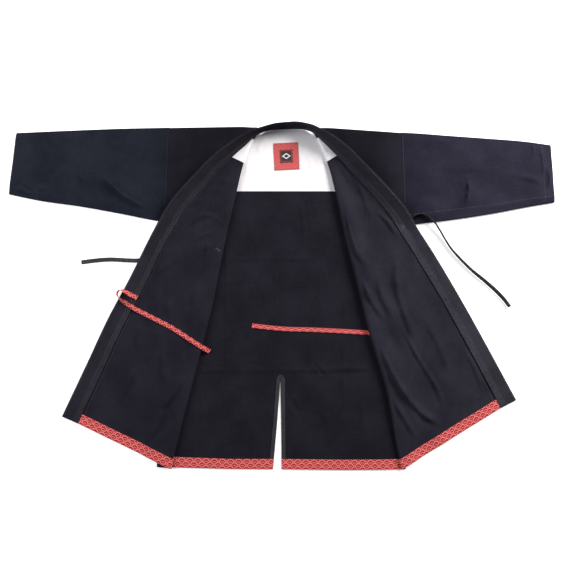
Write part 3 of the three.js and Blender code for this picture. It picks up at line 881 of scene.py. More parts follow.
def woven_group() -> Tree:
    """A group for plain woven cotton: its threads, its slubs and its patchy dye.

    Returns:
        The group. Tone and Patches run from 0 to 1, and Height is the weave's relief.
    """
    kit = GroupKit("WovenCotton", "ShaderNodeTree",
                   {"Cloth": "Vector", "Place": "Vector", "Threads": "Float"},
                   {"Tone": "Float", "Patches": "Float", "Height": "Float"})
    cloth, place = kit.given["Cloth"], kit.given["Place"]
    parts = kit.split(cloth)
    turns = kit.math("MULTIPLY", kit.given["Threads"], math.tau)
    weave = kit.math("MULTIPLY", *(kit.math("SINE", kit.math("MULTIPLY", parts[axis], turns))
                                   for axis in "XY"))
    both = kit.math("ADD", *(kit.noise(kit.stretched(cloth, scale), 1.0) for scale in SLUBS))
    slubs = kit.math("MULTIPLY", both, 0.5)
    fuzz = kit.math("MULTIPLY", kit.noise(place, FUZZ_SCALE, 3.0), 0.5)
    relief = (kit.math("MULTIPLY", weave, WEAVE_RELIEF), kit.math("MULTIPLY", slubs, SLUB_RELIEF))
    kit.fill(kit.made, Tone=kit.ramp(kit.math("ADD", slubs, fuzz), *TONE_RANGE),
             Patches=kit.ramp(kit.noise(place, PATCH_SCALE, 3.0), *PATCH_RANGE),
             Height=kit.math("ADD", *relief))
    return kit.tree


def wave_group() -> Tree:
    """A group for the traditional wave repeat: rows of rings, each row over the one above it.

    Returns:
        The group. Lines is 1 on the pale lines and 0 on the ground between them.
    """
    kit = GroupKit("WaveRepeat", "ShaderNodeTree", {"Cloth": "Vector"}, {"Lines": "Float"})
    parts = kit.split(kit.given["Cloth"])
    u = kit.math("DIVIDE", parts["X"], WAVE_WIDTH * MM)
    v = kit.math("DIVIDE", parts["Y"], WAVE_STEP * MM)
    row = kit.math("FLOOR", v)

    def ring(offset: float) -> Socket:
        """The distance from the nearest centre in a row, where 1 is the scale's rim.

        Args:
            offset: how many rows above the point's own row.

        Returns:
            The distance's socket.
        """
        this = kit.math("ADD", row, offset)
        shift = kit.math("FRACT", kit.math("MULTIPLY", this, 0.5))
        across = kit.math("SUBTRACT", kit.math("FRACT", kit.math("ADD", u, shift)), 0.5)
        above = kit.math("MULTIPLY", kit.math("SUBTRACT", v, this), 0.25)
        squares = kit.math("ADD", *(kit.math("POWER", part, 2.0) for part in (across, above)))
        return kit.math("MULTIPLY", kit.math("SQRT", squares), 2.0)

    shown = ring(1.0)
    for offset in (0.0, -1.0, -2.0):
        nearer = ring(offset)
        inside = kit.math("LESS_THAN", nearer, 1.0)
        kept = kit.math("MULTIPLY", shown, kit.math("SUBTRACT", 1.0, inside))
        shown = kit.math("ADD", kept, kit.math("MULTIPLY", nearer, inside))
    lines = 0.0
    for middle, half in WAVE_RINGS:
        away = kit.math("ABSOLUTE", kit.math("SUBTRACT", shown, middle))
        lines = kit.math("ADD", lines, kit.ramp(away, half * 0.7, half * 1.3, 1.0, 0.0))
    kit.fill(kit.made, Lines=kit.math("MINIMUM", lines, 1.0))
    return kit.tree


class MaterialKit(NodeKit):
    """A new material's nodes, with its shader and the two kinds of place that they read."""

    def __init__(self, name: str) -> None:
        """Makes the material.

        Args:
            name: the material's name.
        """
        self.material = bpy.data.materials.new(name)
        self.material.use_nodes = True
        super().__init__(self.material.node_tree)
        self.shader = self.tree.nodes["Principled BSDF"]
        self.place = self.add("ShaderNodeTexCoord").outputs["Object"]

    def cloth(self) -> Socket:
        """The place on the piece's own cloth."""
        return self.add("ShaderNodeUVMap", {"uv_map": "cloth"}).outputs["UV"]

    def dressed(self, colour: Socket, roughness: float, **inputs: object) -> Material:
        """Sets the shader's inputs and gives the finished material."""
        self.fill(self.shader, Base_Color=colour, Roughness=roughness, **inputs)
        return self.material

    def bump(self, height: Socket, depth: float) -> Socket:
        """A surface direction from a height, where 1 is the depth in metres."""
        return self.add("ShaderNodeBump", Strength=0.8, Distance=depth, Height=height).outputs["Normal"]


@dataclass(frozen=True)
class Groups:
    """The shader groups that the materials share."""

    woven: Tree
    waves: Tree


# A line along the collars: shares of a place's out and up, their sum where the painted shade of
# the outer face starts and the width of the change there
PAST_COLLAR = (0.785, 0.62)
PAST_START = 0.365
PAST_WIDTH = 0.02
# Where the painted shade of the shoulders fades out along the sleeves, as distances from the centre line
SHOULDER_SHADE_FADE = (0.22, 0.46)
# How much of a cotton's tone comes from its threads, from its patches and from neither
THREAD_TONE = 0.45
PATCH_TONE = 0.35
EVEN_TONE = 0.1


@dataclass(frozen=True)
class CottonFinish:
    """Plain woven cotton in one dye, a little patchy, with a soft nap.

    Where its shade share is below 1, the cloth's outer face is that much darker on the shoulders
    and on the sleeves near their seams: painted shade, fading out along the sleeves.
    """

    name: str
    dark: Colour
    light: Colour
    threads: float = 720.0
    relief: float = 0.00022
    sheen: float = 0.02
    roughness: float = 0.88
    shoulder_shade_share: float = 1.0

    def material(self, groups: Groups) -> Material:
        """Makes the material.

        Args:
            groups: the shared groups.

        Returns:
            The material.
        """
        kit = MaterialKit(self.name)
        weave = kit.add("ShaderNodeGroup", {"node_tree": groups.woven}, Cloth=kit.cloth(),
                        Place=kit.place, Threads=self.threads).outputs
        even = kit.math("ADD", kit.math("MULTIPLY", weave["Patches"], PATCH_TONE), EVEN_TONE)
        mottle = kit.math("ADD", kit.math("MULTIPLY", weave["Tone"], THREAD_TONE), even)
        colour = kit.mixed(mottle, self.dark, self.light)
        # Painted shade: past the collar line, the shoulders and the sleeves near their seams are darkened.
        if self.shoulder_shade_share < 1:
            outer = kit.mixed(mottle, *([part * self.shoulder_shade_share for part in dye]
                                        for dye in (self.dark, self.light)))
            parts = kit.split(kit.place)
            out = kit.math("ABSOLUTE", parts["X"])
            past = kit.math("ADD", kit.math("MULTIPLY", out, PAST_COLLAR[0]),
                            kit.math("MULTIPLY", parts["Y"], PAST_COLLAR[1]))
            faded = kit.mixed(kit.ramp(out, *SHOULDER_SHADE_FADE), outer, colour)
            colour = kit.mixed(kit.ramp(past, PAST_START, PAST_START + PAST_WIDTH), colour, faded)
        return kit.dressed(colour, self.roughness, Specular_IOR_Level=0.03,
                           Sheen_Weight=self.sheen, Sheen_Roughness=0.45,
                           Sheen_Tint=(0.34, 0.32, 0.4, 1), Normal=kit.bump(weave["Height"], self.relief))


@dataclass(frozen=True)
class WaveFinish:
    """Cotton printed with the wave repeat in pale lines on red."""

    name: str
    ground: Colour = (0.29, 0.006, 0.012)
    lines: Colour = (0.72, 0.2, 0.18)

    def material(self, groups: Groups) -> Material:
        """Makes the material.

        Args:
            groups: the shared groups.

        Returns:
            The material.
        """
        kit = MaterialKit(self.name)
        cloth = kit.cloth()
        weave = kit.add("ShaderNodeGroup", {"node_tree": groups.woven}, Cloth=cloth,
                        Place=kit.place, Threads=900.0).outputs
        wave = kit.add("ShaderNodeGroup", {"node_tree": groups.waves}, Cloth=cloth).outputs
        faded = kit.ramp(weave["Tone"], 0.0, 1.0, 0.86, 1.0)
        share = kit.math("MULTIPLY", wave["Lines"], faded)
        return kit.dressed(kit.mixed(share, self.ground, self.lines), 0.8, Specular_IOR_Level=0.25,
                           Normal=kit.bump(weave["Height"], 0.00015))


@dataclass(frozen=True)
class LabelFinish:
    """A woven label: a dark ground with a plain frame and a pale lozenge.

    The frame and the lozenge are given by their middles and by where they fade out from there.
    """

    name: str
    ground: Colour = (0.007, 0.0065, 0.008)
    frame: Colour = (0.42, 0.016, 0.022)
    motif: Colour = (0.62, 0.6, 0.6)
    frame_middle: float = 0.84
    frame_fade: tuple[float, float] = (0.03, 0.05)
    lozenge_shape: tuple[float, float] = (1.1, 1.6)
    lozenge_middle: float = 0.62
    lozenge_fade: tuple[float, float] = (0.13, 0.17)

    def material(self, groups: Groups) -> Material:
        """Makes the material.

        Args:
            groups: the shared groups.

        Returns:
            The material.
        """
        kit = MaterialKit(self.name)
        cloth = kit.cloth()
        weave = kit.add("ShaderNodeGroup", {"node_tree": groups.woven}, Cloth=cloth,
                        Place=kit.place, Threads=1500.0).outputs
        parts = kit.split(cloth)
        across, up = (kit.math("ABSOLUTE", kit.math("DIVIDE", parts[axis], size / 2 * MM))
                      for axis, size in zip("XY", LABEL_SIZE))
        edge = kit.math("SUBTRACT", kit.math("MAXIMUM", across, up), self.frame_middle)
        on_rim = kit.ramp(kit.math("ABSOLUTE", edge), *self.frame_fade, 1.0, 0.0)
        lozenge = kit.math("ADD", kit.math("MULTIPLY", across, self.lozenge_shape[0]),
                           kit.math("MULTIPLY", up, self.lozenge_shape[1]))
        aside = kit.math("ABSOLUTE", kit.math("SUBTRACT", lozenge, self.lozenge_middle))
        framed = kit.mixed(on_rim, self.ground, self.frame)
        colour = kit.mixed(kit.ramp(aside, *self.lozenge_fade, 1.0, 0.0), framed, self.motif)
        return kit.dressed(colour, 0.6, Normal=kit.bump(weave["Height"], 0.00012))


# The finishes of the cloths, by what they cover
FINISHES = {
    # Painted light: the right front, the right sleeve and the right collar are lighter copies of the left
    # ones, where the light falls stronger.
    "front_left": CottonFinish(
        "cotton_left", (0.0072, 0.0067, 0.0106), (0.0186, 0.0171, 0.0248), shoulder_shade_share=0.58),
    "front_right": CottonFinish(
        "cotton_right", (0.0092, 0.0086, 0.0132), (0.0236, 0.0218, 0.031), shoulder_shade_share=0.44),
    "back": CottonFinish("cotton_inside", (0.0062, 0.0057, 0.0086), (0.0158, 0.0142, 0.0204)),
    "sleeve_left": CottonFinish(
        "cotton_sleeve_left", (0.0067, 0.0074, 0.0118), (0.0167, 0.0183, 0.0272), shoulder_shade_share=0.62),
    "sleeve_right": CottonFinish(
        "cotton_sleeve_right", (0.0098, 0.009, 0.0158), (0.025, 0.0229, 0.0372), shoulder_shade_share=0.48),
    "collar_left": CottonFinish("collar_left", (0.0094, 0.0088, 0.0126), (0.0234, 0.0217, 0.0298)),
    "collar_right": CottonFinish("collar_right", (0.014, 0.013, 0.018), (0.035, 0.0322, 0.0422)),
    "lining": CottonFinish(
        "lining", (0.68, 0.655, 0.665), (0.8, 0.775, 0.785), 1100.0, 0.0001, 0.0, 0.8),
    "waves": WaveFinish("wave_cloth"),
    "tape": CottonFinish("tape", (0.0225, 0.0205, 0.0225), (0.056, 0.052, 0.056), 1000.0, 0.00014),
    "vent_tape": CottonFinish(
        "vent_tape", (0.0175, 0.0162, 0.0182), (0.044, 0.041, 0.045), 1000.0, 0.00014),
    "label": LabelFinish("label"),
}

# Each thread's darker and lighter dye
THREADS = {
    "dark_thread": ((0.013, 0.013, 0.019), (0.03, 0.029, 0.039)),
    "grey_thread": ((0.055, 0.052, 0.065), (0.115, 0.11, 0.13)),
    "collar_thread": ((0.085, 0.08, 0.1), (0.16, 0.152, 0.182)),
    "pale_thread": ((0.52, 0.49, 0.49), (0.68, 0.65, 0.65)),
    "red_thread": ((0.28, 0.014, 0.022), (0.42, 0.045, 0.052)),
}
THREAD_PATCHES = 160.0
THREAD_TWIST = 1800.0


def make_finishes() -> dict[str, Material]:
    """Makes the shared groups, every cloth's material and every thread's.

    Returns:
        The materials, by what they cover.
    """
    groups = Groups(woven_group(), wave_group())
    made = {title: finish.material(groups) for title, finish in FINISHES.items()}
    for name, dyes in THREADS.items():
        kit = MaterialKit(name)
        colour = kit.mixed(kit.noise(kit.place, THREAD_PATCHES), *dyes)
        twist = kit.bump(kit.noise(kit.place, THREAD_TWIST), 0.0001)
        made[name] = kit.dressed(colour, 0.65, Normal=twist)
    return made


def stitch_tree() -> Tree:
    """The geometry-nodes tree that lays a stitch on each point, along and off its cloth.

    Returns:
        The tree.
    """
    sizes = {title: "Float" for title in ("Length", "Width", "Depth", "Unevenness")}
    kit = GroupKit("Stitches", "GeometryNodeTree",
                   {"Geometry": "Geometry", **sizes, "Seed": "Int", "Thread": "Material"},
                   {"Geometry": "Geometry"})
    kit.tree.is_modifier = True
    given = kit.given
    turned = kit.add("FunctionNodeAxesToRotation", {"primary_axis": "X", "secondary_axis": "Z"})
    for socket, name in zip(turned.inputs, ("along", "off")):
        read = kit.add("GeometryNodeInputNamedAttribute", {"data_type": "FLOAT_VECTOR"}, Name=name)
        kit.put(socket, read.outputs[0])
    stitch = kit.add("GeometryNodeMeshIcoSphere", Radius=0.5, Subdivisions=1)
    uneven = kit.add("FunctionNodeRandomValue", {"data_type": "FLOAT"}, Seed=given["Seed"])
    kit.put(uneven.inputs[2], kit.math("SUBTRACT", 1.0, given["Unevenness"]))
    kit.put(uneven.inputs[3], kit.math("ADD", 1.0, given["Unevenness"]))
    length = kit.math("MULTIPLY", given["Length"], uneven.outputs[1])
    size = kit.add("ShaderNodeCombineXYZ", X=length, Y=given["Width"], Z=given["Depth"])
    laid = kit.add("GeometryNodeInstanceOnPoints", Points=given["Geometry"],
                   Instance=stitch.outputs["Mesh"], Rotation=turned.outputs[0],
                   Scale=size.outputs["Vector"])
    real = kit.add("GeometryNodeRealizeInstances", Geometry=laid.outputs["Instances"])
    dressed = kit.add("GeometryNodeSetMaterial", Geometry=real.outputs["Geometry"],
                      Material=given["Thread"])
    kit.fill(kit.made, Geometry=dressed.outputs["Geometry"])
    return kit.tree


@dataclass(frozen=True)
class Cloth:
    """A cloth's slot, what it is made of and sewn with, how it is held and what it rests on. Its flat size
    and area are in metres.
    """

    slot: str
    finish: str
    thread: str
    flat: tuple[float, float]
    area: float
    held: str = "laid"
    rests_on: tuple[str, ...] = ("back",)


PATCH_FLAT = (PATCH_SIZE[0] * MM, PATCH_SIZE[1] * MM)
LABEL_FLAT = (LABEL_SIZE[0] * MM, LABEL_SIZE[1] * MM)
TAPE_FLAT = (0.0105, 0.222)

# Each cloth, by the solid that it stands for
CLOTHS = {
    "back": Cloth("cotton", "back", "", (0.67, 0.945), 0.615, rests_on=()),
    "lining_back": Cloth("lining", "lining", "pale_thread", (0.352, 0.187), 0.064),
    "neck_patch": Cloth("wave_cloth", "waves", "red_thread", PATCH_FLAT, math.prod(PATCH_FLAT),
                        rests_on=("lining_back",)),
    "neck_label": Cloth("label", "label", "dark_thread", LABEL_FLAT, math.prod(LABEL_FLAT),
                        rests_on=("neck_patch",)),
    "hem_trim_back_left": Cloth("wave_cloth", "waves", "red_thread", (0.026, 0.26), 0.0067),
    "hem_trim_back_right": Cloth("wave_cloth", "waves", "red_thread", (0.026, 0.309), 0.0079),
    "vent_facing_left": Cloth("tape", "vent_tape", "dark_thread", TAPE_FLAT, 0.0023),
    "vent_facing_right": Cloth("tape", "vent_tape", "dark_thread", TAPE_FLAT, 0.0023),
    "sleeve_left": Cloth("cotton", "sleeve_left", "dark_thread", (0.56, 0.445), 0.21),
    "sleeve_right": Cloth("cotton", "sleeve_right", "grey_thread", (0.54, 0.427), 0.2),
}
for half, front_area, trim_area in (("left", 0.29, 0.0072), ("right", 0.3, 0.0076)):
    front = f"front_{half}"
    collar_thread = "grey_thread" if half == "left" else "collar_thread"
    CLOTHS[front] = Cloth("cotton", front, "grey_thread", (0.32, 0.98), front_area, "folded")
    CLOTHS[f"hem_trim_{front}"] = Cloth(
        "wave_cloth", "waves", "red_thread", (0.026, 0.3), trim_area, "folded", (front,))
    CLOTHS[f"lining_{front}"] = Cloth(
        "lining", "lining", "pale_thread", (0.075, 0.05), 0.0024, "folded", (front,))
    CLOTHS[f"collar_{half}"] = Cloth(
        "collar_cotton", f"collar_{half}", collar_thread, (0.05, 0.97), 0.047, "folded",
        ("back", front))

# For each kind of stitching, its fixed seed and a stitch's length, width and depth, in
# millimetres
STITCHING = {
    "front": (11, (2.5, 0.75, 0.5)),
    "collar": (23, (2.4, 0.8, 0.5)),
    "sleeve": (31, (2.5, 0.75, 0.5)),
    "strip": (41, (2.5, 0.75, 0.5)),
    "lining": (53, (1.9, 0.6, 0.5)),
    "sewn_on": (61, (2.0, 0.6, 0.5)),
    "patch": (71, (1.9, 0.55, 0.4)),
    "tie": (83, (1.9, 0.5, 0.35)),
}
# How far a thread's middle lies above its cloth, in a seam and in a bar of close stitches,
# and how much the stitches' lengths vary
STITCH_LIFT = 0.12
TACK_LIFT = 0.15
UNEVENNESS = 0.16


class Workshop:
    """The materials and the stitch tree, with the steps that end every piece."""

    def __init__(self) -> None:
        """Makes the materials and the tree."""
        self.finishes = make_finishes()
        self.tree = stitch_tree()

    def sew(self, name: str, seams: list, thread: str, kind: str) -> Object:
        """Makes one object from the stitches of several seams.

        Args:
            name: the object's name.
            seams: the seams.
            thread: the thread's name.
            kind: the kind of stitching.

        Returns:
            The stitches as a plain mesh.
        """
        seed, size = STITCHING[kind]
        laid = [seam.stitches() for seam in seams]
        middles, along, off = (np.concatenate([part[k] for part in laid]) for k in range(3))
        mesh = bpy.data.meshes.new(name)
        mesh.from_pydata(middles.tolist(), [], [])
        for title, values in (("along", along), ("off", off)):
            layer = mesh.attributes.new(title, "FLOAT_VECTOR", "POINT")
            layer.data.foreach_set("vector", values.astype(np.float32).ravel())
        made = linked(name, mesh)
        modifier = made.modifiers.new("Stitches", "NODES")
        modifier.node_group = self.tree
        wanted = {"Length": size[0] * MM, "Width": size[1] * MM, "Depth": size[2] * MM,
                  "Unevenness": UNEVENNESS, "Seed": seed, "Thread": self.finishes[thread]}
        for item in self.tree.interface.items_tree:
            if item.in_out == "INPUT" and item.name in wanted:
                modifier[item.identifier] = wanted[item.name]
        found = made.evaluated_get(bpy.context.evaluated_depsgraph_get())
        plain = bpy.data.meshes.new_from_object(found)
        made.modifiers.clear()
        made.data = plain
        plain.name = name
        plain.shade_smooth()
        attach(made, "root")
        return made

    def finish(self, made: Object, node: str, seams: list = (), kind: str = "",
               title: str = "") -> None:
        """Gives a cloth its stitches, its material and its body, hides its solid and logs its area.

        Args:
            made: the cloth.
            node: the solid that it stands for.
            seams: its seams.
            kind: the kind of stitching.
            title: the stitches' name, where it isn't made from the solid's.
        """
        cloth = CLOTHS[node]
        title = title or f"stitches_{node}"
        sewn = [self.sew(title, seams, cloth.thread, kind)] if seams else []
        made.data.materials.append(self.finishes[cloth.finish])
        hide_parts(node)
        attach(made, "root")
        measured = sum(face.area for face in made.data.polygons) / 2
        log.info("%s: %d faces, %.4f square metres", node, len(made.data.polygons), measured)
        list(cloth.rests_on)


@dataclass
class FrontPanel:
    """One front: the part that lies on the back, the roll of its fold and the part turned open.

    A column from 0 to 1 lies on the back, from 1 to 2 is the roll and from 2 to 3 is turned open.
    A row from 0 to 1 runs from the shoulder to the hem, and from -1 to 0 turns over the shoulder.
    """

    side: Side
    under_columns: int = 34
    roll_columns: int = 10
    open_columns: int = 84
    body_rows: int = 176
    shoulder_rows: int = 6
    relief: float = 2.6
    looseness: float = 1.3
    under_collar: float = 2.4
    collar_seam: float = 2.972
    tack: tuple = ((190, 119), (168, 106))
    tack_pitch: float = 1.7

    def middle(self, column: Array, row: Array) -> Array:
        """The middle of the front's cloth.

        Args:
            column: the points' columns.
            row: the points' rows.

        Returns:
            (out, up, height) points, in millimetres.
        """
        side, fold = self.side, self.side.fold
        column, row = np.broadcast_arrays(column, row)
        v = np.maximum(row, 0)
        edge_up = lerp(side.top_up, side.hem_up, v)
        at = v * fold.length
        here = fold.read(at)
        step = fold.read(np.minimum(at + 1, fold.length)) - fold.read(np.maximum(at - 1, 0))
        run = np.hypot(step[..., 0], step[..., 1])
        in_out, in_up = step[..., 1] / run, -step[..., 0] / run
        roll = here[..., 2]
        turn = roll + CLOTH / 2
        start = (here[..., 0] - in_out * turn, here[..., 1] - in_up * turn)
        level = FRONT_CLEARANCE + CLOTH / 2
        turned = (1 + np.minimum(row, 0)) * np.pi / 2
        wrap_up = SHOULDER_WRAP * np.cos(turned)
        under = self._under(column, row, (side.side_out(edge_up), edge_up), start, turned, level)
        angle = np.clip(column - 1, 0, 1) * np.pi
        reach = roll * np.sin(angle)
        rolled = np.stack((start[0] + in_out * reach, start[1] + in_up * reach + wrap_up,
                           level + roll * (1 - np.cos(angle))), axis=-1)
        opened = self._opened(column, v, start, roll, level, wrap_up)
        which = column[..., None]
        return np.where(which <= 1, under, np.where(which <= 2, rolled, opened))

    def _under(self, column: Array, row: Array, edge: tuple, start: tuple, turned: Array,
               level: float) -> Array:
        """The part that lies on the back.

        Args:
            column: the points' columns.
            row: the points' rows.
            edge: the side seam's out and up.
            start: the fold's out and up.
            turned: how far the shoulder's turn has gone, in radians.
            level: the height of the cloth's middle.

        Returns:
            (out, up, height) points.
        """
        side = self.side
        column, v, down = np.clip(column, 0, 1), np.maximum(row, 0), np.maximum(-row, 0)
        neck_up = side.fold.rows[0][1]
        shoulder = side.top_up + side.shoulder_rise * column - CLOTH / 2 - SHOULDER_ROLL
        full = side.top_up + side.shoulder_rise - CLOTH / 2 - SHOULDER_ROLL - neck_up
        dip = full * column**DIP_POWER
        bow = shoulder - dip - lerp(side.top_up, neck_up, column)
        up = lerp(edge[1], start[1], column) + bow * (1 - smoothstep(v, 0, BOW_END)) + dip * down
        out = lerp(edge[0], start[0], column) - NECK_SLANT * dip * down
        lift = SEAM_LIFT * smoothstep(up, side.underarm - UNDERARM_RUN, side.underarm)
        seam_level = ON_BACK + lift + total_rise(side.tie_under, out, up) + CLOTH / 2
        inside = smoothstep(column * (edge[0] - start[0]), 0, SEAM_FLATTEN)
        height = lerp(seam_level, level, inside)
        kept = 1 - smoothstep(column, *SHOULDER_KEPT)
        up = up + lerp(SHOULDER_WRAP, SHOULDER_ROLL, kept) * np.cos(turned)
        return np.stack((out, up, lerp(height, height * np.sin(turned), kept)), axis=-1)

    def _opened(self, column: Array, v: Array, start: tuple, roll: Array, level: float,
                wrap_up: Array) -> Array:
        """The part that is turned open.

        Args:
            column: the points' columns.
            v: shares down the front.
            start: the fold's out and up.
            roll: the roll's radius.
            level: the height of the middle of the cloth underneath.
            wrap_up: what the shoulder's turn adds to up.

        Returns:
            (out, up, height) points.
        """
        side = self.side
        share = np.clip(column - 2, 0, 1)
        seam = CollarBand(side).line(lerp(FRONT_START, side.collar.length, v))
        back = lerp(-self.under_collar, STRIP_THICK, np.sin(seam.tilt))
        out = lerp(start[0], seam.out - seam.across_out * back, share)
        up = lerp(start[1], seam.up - seam.across_up * back, share)
        distance = np.hypot(out - start[0], up - start[1])
        raised = np.maximum(level + 2 * roll - CLOTH / 2 - side.rest_height(*start), 0)
        height = side.rest_height(out, up) + CLOTH / 2
        height = height + raised * (1 - smoothstep(distance, 0, ROLL_FADE))
        height = height + total_rise(side.ridges, out, up) * window(share, 0, 0.2, 0.8, 1)
        loose = self.relief * total_rise(side.creases, out, up)
        loose = loose + self.looseness * rumple(out, up, side.half.value)
        height = height + loose * window(share, 0, 0.08, 0.92, 1)
        return np.stack((out, up + wrap_up, height), axis=-1)

    def point(self, column: Array, row: Array, offset: float) -> tuple[Array, Array]:
        """Points moved off the middle of the cloth, upwards on the opened part.

        Args:
            column: the points' columns.
            row: the points' rows.
            offset: how far off the middle, in millimetres.

        Returns:
            The points and the directions off the cloth.
        """
        step = 0.004
        column, row = np.broadcast_arrays(np.asarray(column, float), np.asarray(row, float))
        left, right = np.maximum(column - step, 0), np.minimum(column + step, 3)
        above, below = np.maximum(row - step, -1), np.minimum(row + step, 1)
        across = self.middle(right, row) - self.middle(left, row)
        down = self.middle(column, below) - self.middle(column, above)
        normal = np.cross(down, across)
        normal /= np.linalg.norm(normal, axis=-1, keepdims=True)
        point = self.middle(column, row) + normal * offset
        point[..., 2] = np.maximum(point[..., 2], 0)
        return point, normal

    def row_above_hem(self, distance: float) -> float:
        """The row that lies a distance above the hem."""
        return 1 - distance / self.side.fold.length

    def grids(self, columns: Array, rows: Array, near: float, far: float) -> tuple[Array, Array]:
        """Two grids of points on the front, a thickness apart.

        Args:
            columns: the grid's columns.
            rows: the grid's rows.
            near: the lower side's distance off the middle of the cloth.
            far: the upper side's distance.

        Returns:
            The upper and the lower grid, placed in metres.
        """
        c, r = np.meshgrid(columns, rows)
        return self.side.placed(self.point(c, r, far)[0]), self.side.placed(self.point(c, r, near)[0])

    def seam(self, columns: Array, rows: Array, offset: float, pitch: float = STITCH_PITCH) -> Seam:
        """A row of stitches along a line on the front, an offset off the cloth's middle."""
        return self.side.seam(*self.point(columns, rows, offset), pitch)

    def build(self, shop: Workshop) -> None:
        """Makes the front.

        Args:
            shop: the workshop.
        """
        under = eased(self.under_columns, 0.7)
        roll = 1 + np.arange(1, self.roll_columns) / self.roll_columns
        columns = np.concatenate((under, roll, 2 + eased(self.open_columns, 0.35)))
        turn = np.linspace(-1, 0, self.shoulder_rows, endpoint=False)
        rows = np.concatenate((turn, np.linspace(0, 1, self.body_rows)))
        face, back = self.grids(columns, rows, -CLOTH / 2, CLOTH / 2)
        node = f"front_{self.side.name}"
        made = grid_shell(f"cloth_{node}", face, back, lengths_across(face, len(under)))
        down = np.linspace(0.02, 0.985, 300)
        seams = [self.seam(np.full_like(down, self.collar_seam), down, CLOTH / 2)]
        if self.side.half is Half.LEFT:
            seams += self.tack_seams()
        shop.finish(made, node, seams, "front")

    def tack_seams(self) -> list:
        """The short bar of close stitches near the left fold, where a tie is sewn on behind.

        Returns:
            The seams.
        """
        start, end = np.array(self.tack)
        aside = np.array([end[1] - start[1], start[0] - end[0]]) / np.linalg.norm(end - start)
        seams = []
        for shift in (-1.6, 0, 1.6):
            run = lerp(start, end, np.linspace(0, 1, 12)[:, None]) + aside * shift
            seams.append(self.seam(*self.find(run), CLOTH / 2 + TACK_LIFT, self.tack_pitch))
        return seams

    def find(self, places: Array) -> tuple[Array, Array]:
        """The columns and rows of places on the opened part, by closing in on them.

        Args:
            places: (out, up) places.

        Returns:
            Their columns and their rows.
        """
        columns, rows = np.full(len(places), 2.3), np.full(len(places), 0.4)
        step = 0.003
        for _ in range(8):
            here = self.middle(columns, rows)[:, :2]
            by_column = (self.middle(columns + step, rows)[:, :2] - here) / step
            by_row = (self.middle(columns, rows + step)[:, :2] - here) / step
            missing = places - here
            size = by_column[:, 0] * by_row[:, 1] - by_column[:, 1] * by_row[:, 0]
            columns += (missing[:, 0] * by_row[:, 1] - missing[:, 1] * by_row[:, 0]) / size
            rows += (by_column[:, 0] * missing[:, 1] - by_column[:, 1] * missing[:, 0]) / size
            columns, rows = np.clip(columns, 2.01, 2.98), np.clip(rows, 0.01, 0.98)
        return columns, rows


@dataclass(frozen=True)
class CollarLine:
    """Places along the collar's sewn edge, with the direction across the band."""

    out: Array
    up: Array
    lift: Array
    tilt: Array
    across_out: Array
    across_up: Array


